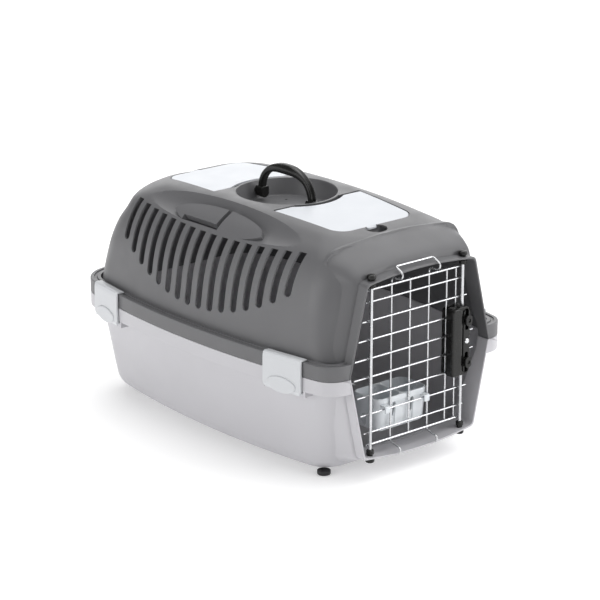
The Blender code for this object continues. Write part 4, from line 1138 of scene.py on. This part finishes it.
def build_lids(colours):
    for end, node in ((-1, "lid_front"), (1, "lid_rear")):
        top = DECK_Z - 0.2
        outline = lid_outline(end, tongue=TONGUE)
        eased = ((0.0, LID_THICK), (0.0, 0.8), (0.25, 0.25), (0.8, 0.0))
        lid = sloped([(inset_outline(outline, inset), top - down) for inset, down in eased], node)
        ears = []
        shaft = circle(LID_PEG_RADIUS, (end * LID_AXIS_Y, LID_AXIS_Z), 24)
        for side in (-1, 1):
            near, far = sorted((side * (LID_INNER_HALF - 9.0), side * (LID_INNER_HALF - 1.0)))
            y_near, y_far = sorted((end * (LID_AXIS_Y - 3.0), end * (LID_AXIS_Y + 3.0)))
            ears.append(box((near, y_near, LID_AXIS_Z - 2.2), (far, y_far, DECK_Z - 2.6), "ear"))
            span = sorted((side * (LID_INNER_HALF - 5.0), side * (LID_INNER_HALF + LID_PEG_LENGTH)))
            ears.append(prism(shaft, "X", *span, "peg"))
        lid = combine(lid, ears, "UNION")
        finish_piece(lid, node + "_panel", lid_plastic(colours), node, [node])


def build_handle(colours):
    """Arched handle: two rails with a groove between them, which swell into a round finger grip."""
    count, around = 72, 48
    height = HANDLE_TOP_Z - 6.0 - HANDLE_PIVOT_Z
    rings = []
    for step in range(count + 1):
        share = step / count
        along, rise = cos(pi * share), sin(pi * share)
        y = HANDLE_HALF_SPAN * (abs(along) ** 0.8) * (1 if along >= 0 else -1)
        z = HANDLE_PIVOT_Z + height * rise**0.8
        slope = Vector((0, y / HANDLE_HALF_SPAN**2, (z - HANDLE_PIVOT_Z + 0.01) / height**2))
        normal = slope.normalized()
        grip = max(0.0, 1 - abs(share - 0.5) / 0.27)
        grip = grip * grip * (3 - 2 * grip)
        half_width, half_thick = 6.0 + 3.0 * grip, 4.6 + 3.4 * grip
        groove = 2.2 * (1 - grip)
        ring = []
        for turn in turns(around):
            a, b = cos(turn), sin(turn)
            power = 0.55 + 0.25 * grip
            across = half_width * abs(a) ** power * (1 if a >= 0 else -1)
            out = half_thick * abs(b) ** power * (1 if b >= 0 else -1)
            middle = abs(across) / half_width
            if b > 0 and middle < 0.5:
                out -= groove * (1 - (middle / 0.5) ** 2)
            ring.append(Vector((across, y, z)) + normal * out)
        rings.append(ring)
    handle = loft(rings, "carry_handle_bow")
    feet = []
    for end in (-1, 1):
        near, far = sorted((end * 50.0, end * 66.0))
        outline = rounded(rectangle(-7.4, 7.4, 333.2, 351.0), [7.0, 7.0, 3.0, 3.0])
        feet.append(prism(outline, "Y", near, far, "foot_block", 1.2))
        pin = circle(HANDLE_PIN_RADIUS, (0.0, HANDLE_PIVOT_Z), 32)
        feet.append(prism(pin, "Y", *sorted((end * 60.0, end * HANDLE_PIN_TIP)), "pin"))
    handle = combine(handle, feet, "UNION")
    finish_piece(
        handle, "carry_handle_bow", fitting_plastic(colours), "handle", ["carry_handle"], 40.0
    )


# ---- door ----


def build_bushings(colours):
    material = fitting_plastic(colours)
    for x, hand in ((-HINGE_X, "left"), (HINGE_X, "right")):
        for side, where in ((1, "top"), (-1, "bottom")):
            inner = 296.0 if side > 0 else 40.0
            outer = 303.2 if side > 0 else 33.4
            profile = [
                (5.0, inner - side * 6.4), (5.6, inner - side * 5.8), (5.6, inner - side * 0.6),
                (4.1, inner - side * 0.6), (4.1, outer + side * GAP), (6.2, outer + side * GAP),
                (6.6, outer + side * 0.8), (6.6, outer + side * 3.9), (6.2, outer + side * 5.0),
                (5.0, outer + side * 5.9), (3.4, outer + side * 6.2),
            ]
            made = turned(profile, (x, ROD_Y), "bushing")
            bore = prism(
                circle(ROD_RADIUS + 0.4, (x, ROD_Y), 32),
                "Z",
                *sorted((inner - side * 8.0, outer + side * 3.2)),
                "bore",
            )
            ends = sorted((outer + side * 4.4, outer + side * 8.0))
            split = box((x - 8.0, ROD_Y - 0.7, ends[0]), (x + 8.0, ROD_Y + 0.7, ends[1]), "split")
            made = combine(made, [bore, split], "DIFFERENCE")
            node = f"bushing_{where}_{hand}"
            finish_piece(made, node + "_snap", material, "carrier", [node])


def bent(path, radius, steps=6):
    """The same path of 3-D points with each corner rounded."""
    points = [Vector(path[0])]
    for before, here, after in zip(path, path[1:], path[2:]):
        here = Vector(here)
        back, ahead = Vector(before) - here, Vector(after) - here
        reach = min(radius, back.length * 0.45, ahead.length * 0.45)
        start, end = here + back.normalized() * reach, here + ahead.normalized() * reach
        for step in range(steps + 1):
            t = step / steps
            points.append(start * (1 - t) ** 2 + here * 2 * t * (1 - t) + end * t**2)
    return points + [Vector(path[-1])]


def bail_path():
    """The two long uprights with the bail over the hood, as one bent wire."""
    left, right = BAIL_X
    front, bar_y, bar_z = -303.6, -288.0, 311.5
    rise = [(UPRIGHT_Y, 291.0), (UPRIGHT_Y - 3.0, 294.5), (front + 4.0, 296.0), (front, 299.0)]
    rise += [(front, 303.5), (front + 2.5, 306.5), (bar_y - 2.5, bar_z)]
    lower = [(front + 2.4, 33.0), (front, 35.8), (front, 40.0), (front + 3.0, 42.8)]
    lower += [(UPRIGHT_Y - 5.0, 45.8), (UPRIGHT_Y - 1.0, 47.0), (UPRIGHT_Y, 51.0)]
    up = [(left, y, z) for y, z in lower + rise]
    down = [(right, y, z) for y, z in (lower + rise)[::-1]]
    bar = [(left + 2.5, bar_y, bar_z + 0.4), (right - 2.5, bar_y, bar_z + 0.4)]
    return bent(up + bar + down, 3.0)


def round_ended(path, radius, name, sides=24):
    """Straight rod along Z or X with domed ends, from its two end points."""
    start, end = Vector(path[0]), Vector(path[1])
    along = (end - start).normalized()
    across = Vector((0, 1, 0))
    other = along.cross(across)
    rings = []
    steps = [(0.35, 0.0), (0.75, 0.12), (0.95, 0.35), (1.0, 0.7)]
    for share, run in steps:
        rings.append((start + along * run * radius, share * radius))
    for share, run in steps[::-1]:
        rings.append((end - along * run * radius, share * radius))
    solid = [
        [centre + across * r * cos(a) + other * r * sin(a) for a in turns(sides)]
        for centre, r in rings
    ]
    return loft(solid, name)


def build_door(door, colours):
    material = zinc_plate(colours)
    radius = door.radius / MM
    seed = bmesh.new()
    bmesh.ops.create_uvsphere(seed, u_segments=16, v_segments=7, radius=radius / cos(pi / 14))
    bmesh.ops.rotate(seed, cent=(0, 0, 0), matrix=Matrix.Rotation(pi / 2, 3, "Y"), verts=seed.verts)
    sizes = {"Count": door.wires, "First": door.first, "Pitch": door.pitch}
    sizes |= {"Middle": OPENING_MID_Z * MM, "Half": (OPENING_MID - STUB_INSET - radius) * MM}
    sizes["Slope Above"] = (OPENING_MID - OPENING_TOP) / (OPENING_TOP_Z - OPENING_MID_Z)
    sizes["Slope Below"] = (OPENING_MID - OPENING_SILL) / (OPENING_MID_Z - OPENING_SILL_Z)
    sizes |= {"Depth": CROSS_WIRE_Y * MM, "Material": material}
    wires = [grown(ladder_tree(), object_from(seed, "wire"), sizes, "ladder")]
    half = HINGE_X + 4.5
    for z in EDGE_WIRE_Z:
        wires.append(
            round_ended([(-half, CROSS_WIRE_Y, z), (half, CROSS_WIRE_Y, z)], EDGE_WIRE_RADIUS, "edge")
        )
    for x in UPRIGHT_X:
        ends = [(x, UPRIGHT_Y, EDGE_WIRE_Z[0] - 1.6), (x, UPRIGHT_Y, EDGE_WIRE_Z[1] + 1.6)]
        wires.append(round_ended(ends, radius, "upright", 16))
    wires.append(tube(bail_path(), radius, "bail"))
    grid = join(wires, "door_grid_wires")
    finish_piece(grid, "door_grid_wires", material, "door", ["door_grid"], 50.0)
    rod = round_ended([(-HINGE_X, ROD_Y, 32.0), (-HINGE_X, ROD_Y, 305.0)], ROD_RADIUS, "rod")
    finish_piece(rod, "hinge_rod_steel", material, "door", ["hinge_rod"], 50.0)


def build_latch(door, colours):
    nylon, zinc = fitting_plastic(colours), zinc_plate(colours)
    low, high = LATCH_Z - LATCH_HEIGHT / 2, LATCH_Z + LATCH_HEIGHT / 2

    def slab(x0, x1, z0, z1, radius, y0, y1, name, ease):
        outline = rounded(rectangle(x0, x1, z0, z1), radius)
        return prism(outline, "Y", y0, y1, name, ease)

    body = slab(LATCH_X0, LATCH_X1, low, high, 7.0, LATCH_Y0 + 3.2, LATCH_Y1, "latch_housing_body", 1.2)
    column = slab(LATCH_X0, 80.5, low, high, 8.0, LATCH_Y0, LATCH_Y1 - 2.0, "column", 3.4)
    track = slab(82.4, LATCH_X1, low + 4, high - 4, 6.0, LATCH_Y0 + 1.2, LATCH_Y1 - 2.0, "track", 1.4)
    body = combine(body, [column, track], "UNION")
    cuts = [box((HINGE_X - 5.3, -293.6, low - 5), (HINGE_X + 5.3, -282.0, high + 5), "channel")]
    for side in (-1, 1):
        start, end = sorted((LATCH_Z + side * 17.0, LATCH_Z + side * 49.0))
        outline = rounded(rectangle(HINGE_X - 3.3, HINGE_X + 3.3, start, end), 2.2)
        cuts.append(prism(outline, "Y", -310.0, -290.0, "window"))
    cuts.append(prism(circle(2.3, (HINGE_X, LATCH_Z), 32), "Y", -310, -280, "rivet_hole"))
    body = combine(body, cuts, "DIFFERENCE")
    finish_piece(body, "latch_housing_body", nylon, "door", ["latch_housing"])

    plate_y = UPRIGHT_Y + 1.4 + GAP
    plate = slab(LATCH_X0, LATCH_X1, low, high, 7.0, plate_y, plate_y + 3.0, "plate", 0.8)
    hole = prism(circle(2.3, (HINGE_X, LATCH_Z), 32), "Y", -310, -270, "rivet_hole")
    plate = combine(plate, [hole], "DIFFERENCE")
    finish_piece(plate, "latch_back_plate_nylon", nylon, "door", ["latch_back_plate"])

    back, front = plate_y + 3.0, LATCH_Y0 + 1.2 - GAP
    profile = [
        (2.6, back + 1.6), (3.6, back + 1.3), (4.0, back + GAP + 0.2), (3.8, back + GAP),
        (2.0, back + GAP), (2.0, front), (3.9, front), (4.1, front - 0.4), (3.4, front - 1.4),
        (1.8, front - 1.9), (0.8, front - 1.5),
    ]
    rings = [
        [Vector((HINGE_X + r * cos(a), y, LATCH_Z + r * sin(a))) for a in turns(32)] for r, y in profile
    ]
    finish_piece(loft(rings, "rivet"), "latch_rivet_steel", zinc, "door", ["latch_rivet"])

    for side, where in ((1, "upper"), (-1, "lower")):
        z0, z1 = sorted((LATCH_Z + side * 21.0, LATCH_Z + side * 43.0))
        carriage = box((HINGE_X - 4.9, -293.2, z0), (HINGE_X + 4.9, -285.7, z1), "carriage")
        stem = box((HINGE_X - 2.9, -303.0, z0 + 5), (HINGE_X + 2.9, -292.0, z1 - 5), "stem")
        pad = slab(HINGE_X - 6.2, HINGE_X + 6.2, z0 + 3, z1 - 3, 5.0, -304.6, -300.6, "pad", 1.2)
        thumb = prism(circle(3.0, (HINGE_X, (z0 + z1) / 2), 32), "Y", -308.0, -303.2, "dimple")
        slider = combine(carriage, [stem, pad], "UNION")
        span = sorted((LATCH_Z + side * 30.0, LATCH_Z + side * 60.0))
        bore = prism(circle(ROD_RADIUS + GAP, (HINGE_X, ROD_Y), 32), "Z", *span, "rod_bore")
        slider = combine(slider, [bore, thumb], "DIFFERENCE")
        node = f"latch_slider_{where}"
        finish_piece(slider, node + "_nylon", nylon, f"latch_{where}", [node])
        tip = 290.5 if side > 0 else 45.5
        ends = [(HINGE_X, ROD_Y, LATCH_Z + side * 30.5), (HINGE_X, ROD_Y, tip)]
        node = f"latch_rod_{where}"
        rod = round_ended(ends, ROD_RADIUS, node)
        finish_piece(rod, node + "_steel", zinc, f"latch_{where}", [node], 50.0)
        node = f"latch_spring_{where}"
        sizes = {"Turns": door.spring_turns, "Radius": 2.9 * MM, "Height": 15.6 * MM}
        sizes |= {"Wire Radius": 0.45 * MM, "Material": zinc}
        spring = grown(spring_tree(), box((0, 0, 0), (1, 1, 1), "seed"), sizes, node)
        start = LATCH_Z + (4.2 if side > 0 else -19.8)
        moved(spring, Matrix.Translation((HINGE_X, -289.6, start)))
        finish_piece(spring, node + "_coil", zinc, "door", [node], 60.0)


def build_bowl(colours):
    (x0, x1), (y0, y1), (z0, z1) = BOWL_X, BOWL_Y, BOWL_Z
    middle = (x0 + x1) / 2

    def plan(left, right, grow, radius):
        return rounded(rectangle(left - grow, right + grow, y0 - grow, y1 + grow), radius, 10)

    def walls(left, right, rows, name, corner):
        rings = []
        for grow, z in rows:
            outline = plan(left, right, grow, corner + min(grow, 0.0) * 0.5)
            rings.append([Vector((x, y, z)) for x, y in outline])
        return loft(rings, name)

    outer = [(-9.0, z0), (-6.2, z0 + 0.5), (-4.2, z0 + 2.0), (-3.1, z0 + 4.6), (-0.6, z1 - 9.0)]
    outer += [(0.0, z1 - 7.6), (0.0, z1 - 1.6), (-0.5, z1 - 0.5), (-1.5, z1)]
    bowl = walls(x0, x1, outer, "bowl", 13.0)
    hooks = []
    for x in (middle - 38.5, middle + 38.5):
        hooks.append(rounded_box((x - 5, -288.6, 102.0), (x + 5, y0 + 4, 104.2), 1.0, "hook", 0.4))
        hooks.append(rounded_box((x - 5, -288.6, 94.0), (x + 5, -286.4, 103.2), 0.9, "hook_tip", 0.4))
    bowl = combine(bowl, hooks, "UNION")
    cup = [(-8.6, z0 + 2.2), (-6.4, z0 + 3.2), (-5.4, z0 + 6.0), (-2.6, z1 - 8.0)]
    cup += [(-2.2, z1 - 3.0), (-1.6, z1 + 1.0)]
    cups = [
        walls(x0, middle + 1.0, cup, "cup", 12.0),
        walls(middle - 1.0, x1, cup, "cup", 12.0),
    ]
    grooves = []
    for x in (x0 + 33.0, x1 - 33.0):
        rings = []
        for radius, z in ((3.2, z0 - 1.0), (3.2, z1 - 12.0), (1.2, z1 - 8.6)):
            rings.append([Vector((a, b, z)) for a, b in circle(radius, (x, y0 + 1.2), 32)])
        grooves.append(loft(rings, "groove"))
    bowl = combine(bowl, cups + grooves, "DIFFERENCE")
    material = bowl_plastic(colours)
    finish_piece(bowl, "double_bowl_moulding", material, "door", ["double_bowl"], 35.0)


# ---- stage ----


def build_stage(colours):
    """Pale floor, soft lights and the camera."""
    bm = bmesh.new()
    bmesh.ops.create_circle(bm, cap_ends=True, segments=64, radius=30.0)
    mesh = bpy.data.meshes.new("floor")
    bm.to_mesh(mesh)
    bm.free()
    floor = placed("floor", mesh)
    material = bpy.data.materials.new("matt_studio_floor")
    material.use_nodes = True
    shader = material.node_tree.nodes["Principled BSDF"]
    shader.inputs["Base Color"].default_value = colours.floor
    shader.inputs["Roughness"].default_value = 0.9
    shader.inputs["Specular IOR Level"].default_value = 0.0
    # a little light of its own keeps the sweep white, and its shadows faint
    shader.inputs["Emission Color"].default_value = (1.0, 1.0, 1.0, 1.0)
    shader.inputs["Emission Strength"].default_value = 0.3
    mesh.materials.append(material)

    scene = bpy.context.scene
    scene.view_settings.view_transform = "Standard"
    scene.world = bpy.data.worlds.new("studio")
    scene.world.use_nodes = True
    room = scene.world.node_tree.nodes["Background"]
    room.inputs["Color"].default_value = (1.0, 1.0, 1.0, 1.0)
    room.inputs["Strength"].default_value = 0.22

    def lamp(name, kind, place, aim):
        made = placed(name, bpy.data.lights.new(name, kind))
        made.location = place
        made.rotation_euler = (Vector(aim) - Vector(place)).to_track_quat("-Z", "Y").to_euler()
        return made.data

    # a very large soft source overhead, towards the front right
    key = lamp("overhead_light", "SUN", (0.9, -0.3, 2.2), (0, 0, 0))
    key.angle = radians(90)
    key.energy = 3.0
    # one panel lifts the left side, one looks in at the door from the right, and a broad low one
    # stands behind, which the upper faces mirror
    panels = (
        ("left_panel", (-2.6, 0.3, 1.0), (0, 0, 0.2), (2.0, 1.5), 26.0),
        ("front_panel", (1.9, -2.6, 0.8), (0, -0.2, 0.2), (1.4, 1.2), 26.0),
        ("back_panel", (1.9, 2.2, 1.2), (0, 0, 0.3), (3.2, 1.8), 30.0),
    )
    for name, place, aim, (width, height), power in panels:
        panel = lamp(name, "AREA", place, aim)
        panel.shape = "RECTANGLE"
        panel.size, panel.size_y = width, height
        panel.energy = power

    azimuth, elevation = radians(-40.6), radians(18.0)
    back = Vector((sin(azimuth) * cos(elevation), -cos(azimuth) * cos(elevation), sin(elevation)))
    right = Vector((cos(azimuth), sin(azimuth), 0.0))
    up = back.cross(right)
    aim = Vector((0, 0, 0.179)) + right * 0.0197 + up * 0.0028
    camera = placed("camera", bpy.data.cameras.new("camera"))
    camera.data.lens = 145.1
    camera.data.sensor_width = 36.0
    turn = Matrix((right, up, back)).transposed().to_4x4()
    camera.matrix_world = Matrix.Translation(aim + back * 3.6821) @ turn
    scene.camera = camera


# ---- operators and panel ----


class CARRIER_OT_stage(bpy.types.Operator):
    """Set up the floor, the lights and the camera"""

    bl_idname = "carrier.stage"
    bl_label = "Stage"

    def execute(self, context):
        build_stage(context.scene.carrier_colours)
        return {"FINISHED"}


class CARRIER_OT_tray(bpy.types.Operator):
    """Mould the light lower half"""

    bl_idname = "carrier.tray"
    bl_label = "Bottom Tray"

    def execute(self, context):
        build_tray(context.scene.carrier_colours)
        return {"FINISHED"}


class CARRIER_OT_top_shell(bpy.types.Operator):
    """Mould the dark upper half with its vents, scoops, wells and hood"""

    bl_idname = "carrier.top_shell"
    bl_label = "Top Shell"

    def execute(self, context):
        build_top_shell(context.scene.carrier_vents, context.scene.carrier_colours)
        return {"FINISHED"}


class CARRIER_OT_feet(bpy.types.Operator):
    """Press in the four rubber feet"""

    bl_idname = "carrier.feet"
    bl_label = "Feet"

    def execute(self, context):
        build_feet(context.scene.carrier_colours)
        return {"FINISHED"}


class CARRIER_OT_clips(bpy.types.Operator):
    """Hang the four snap clips on the rim"""

    bl_idname = "carrier.clips"
    bl_label = "Clips"

    def execute(self, context):
        build_clips(context.scene.carrier_colours)
        return {"FINISHED"}


class CARRIER_OT_lids(bpy.types.Operator):
    """Lay the two lids over their wells"""

    bl_idname = "carrier.lids"
    bl_label = "Lids"

    def execute(self, context):
        build_lids(context.scene.carrier_colours)
        return {"FINISHED"}


class CARRIER_OT_handle(bpy.types.Operator):
    """Set the arched handle in its recess"""

    bl_idname = "carrier.handle"
    bl_label = "Handle"

    def execute(self, context):
        build_handle(context.scene.carrier_colours)
        return {"FINISHED"}


class CARRIER_OT_bushings(bpy.types.Operator):
    """Snap the four bushings into the hood and the sill"""

    bl_idname = "carrier.bushings"
    bl_label = "Bushings"

    def execute(self, context):
        build_bushings(context.scene.carrier_colours)
        return {"FINISHED"}


class CARRIER_OT_door(bpy.types.Operator):
    """Weld the door's wires and hang them on the hinge rod"""

    bl_idname = "carrier.door"
    bl_label = "Door"

    def execute(self, context):
        build_door(context.scene.carrier_door, context.scene.carrier_colours)
        return {"FINISHED"}


class CARRIER_OT_latch(bpy.types.Operator):
    """Fit the latch with its sliders, bolts and springs"""

    bl_idname = "carrier.latch"
    bl_label = "Latch"

    def execute(self, context):
        build_latch(context.scene.carrier_door, context.scene.carrier_colours)
        return {"FINISHED"}


class CARRIER_OT_bowl(bpy.types.Operator):
    """Hang the double bowl on the door"""

    bl_idname = "carrier.bowl"
    bl_label = "Bowl"

    def execute(self, context):
        build_bowl(context.scene.carrier_colours)
        return {"FINISHED"}


OPERATORS = (
    CARRIER_OT_stage,
    CARRIER_OT_tray,
    CARRIER_OT_top_shell,
    CARRIER_OT_feet,
    CARRIER_OT_clips,
    CARRIER_OT_lids,
    CARRIER_OT_handle,
    CARRIER_OT_bushings,
    CARRIER_OT_door,
    CARRIER_OT_latch,
    CARRIER_OT_bowl,
)
GROUPS = {
    "carrier_colours": CarrierColours,
    "carrier_vents": CarrierVents,
    "carrier_door": CarrierDoor,
}


class CARRIER_PT_panel(bpy.types.Panel):
    """Lists the carrier's settings and the operators that build it"""

    bl_idname = "CARRIER_PT_panel"
    bl_label = "Pet Transport Carrier"
    bl_space_type = "VIEW_3D"
    bl_region_type = "UI"
    bl_category = "Carrier"

    def draw(self, context):
        for group in GROUPS:
            settings = getattr(context.scene, group)
            column = self.layout.column(align=True)
            for setting in settings.__annotations__:
                column.prop(settings, setting)
        column = self.layout.column(align=True)
        for operator in OPERATORS:
            column.operator(operator.bl_idname)


def register():
    for cls in (*GROUPS.values(), *OPERATORS, CARRIER_PT_panel):
        bpy.utils.register_class(cls)
    for name, group in GROUPS.items():
        setattr(bpy.types.Scene, name, PointerProperty(type=group))


def unregister():
    for name in GROUPS:
        delattr(bpy.types.Scene, name)
    for cls in reversed((*GROUPS.values(), *OPERATORS, CARRIER_PT_panel)):
        bpy.utils.unregister_class(cls)


def main():
    register()
    bpy.ops.carrier.stage()
    bpy.ops.carrier.tray()
    bpy.ops.carrier.top_shell()
    bpy.ops.carrier.feet()
    bpy.ops.carrier.clips()
    bpy.ops.carrier.lids()
    bpy.ops.carrier.handle()
    bpy.ops.carrier.bushings()
    bpy.ops.carrier.door()
    bpy.ops.carrier.latch()
    bpy.ops.carrier.bowl()


if __name__ == "__main__":
    main()
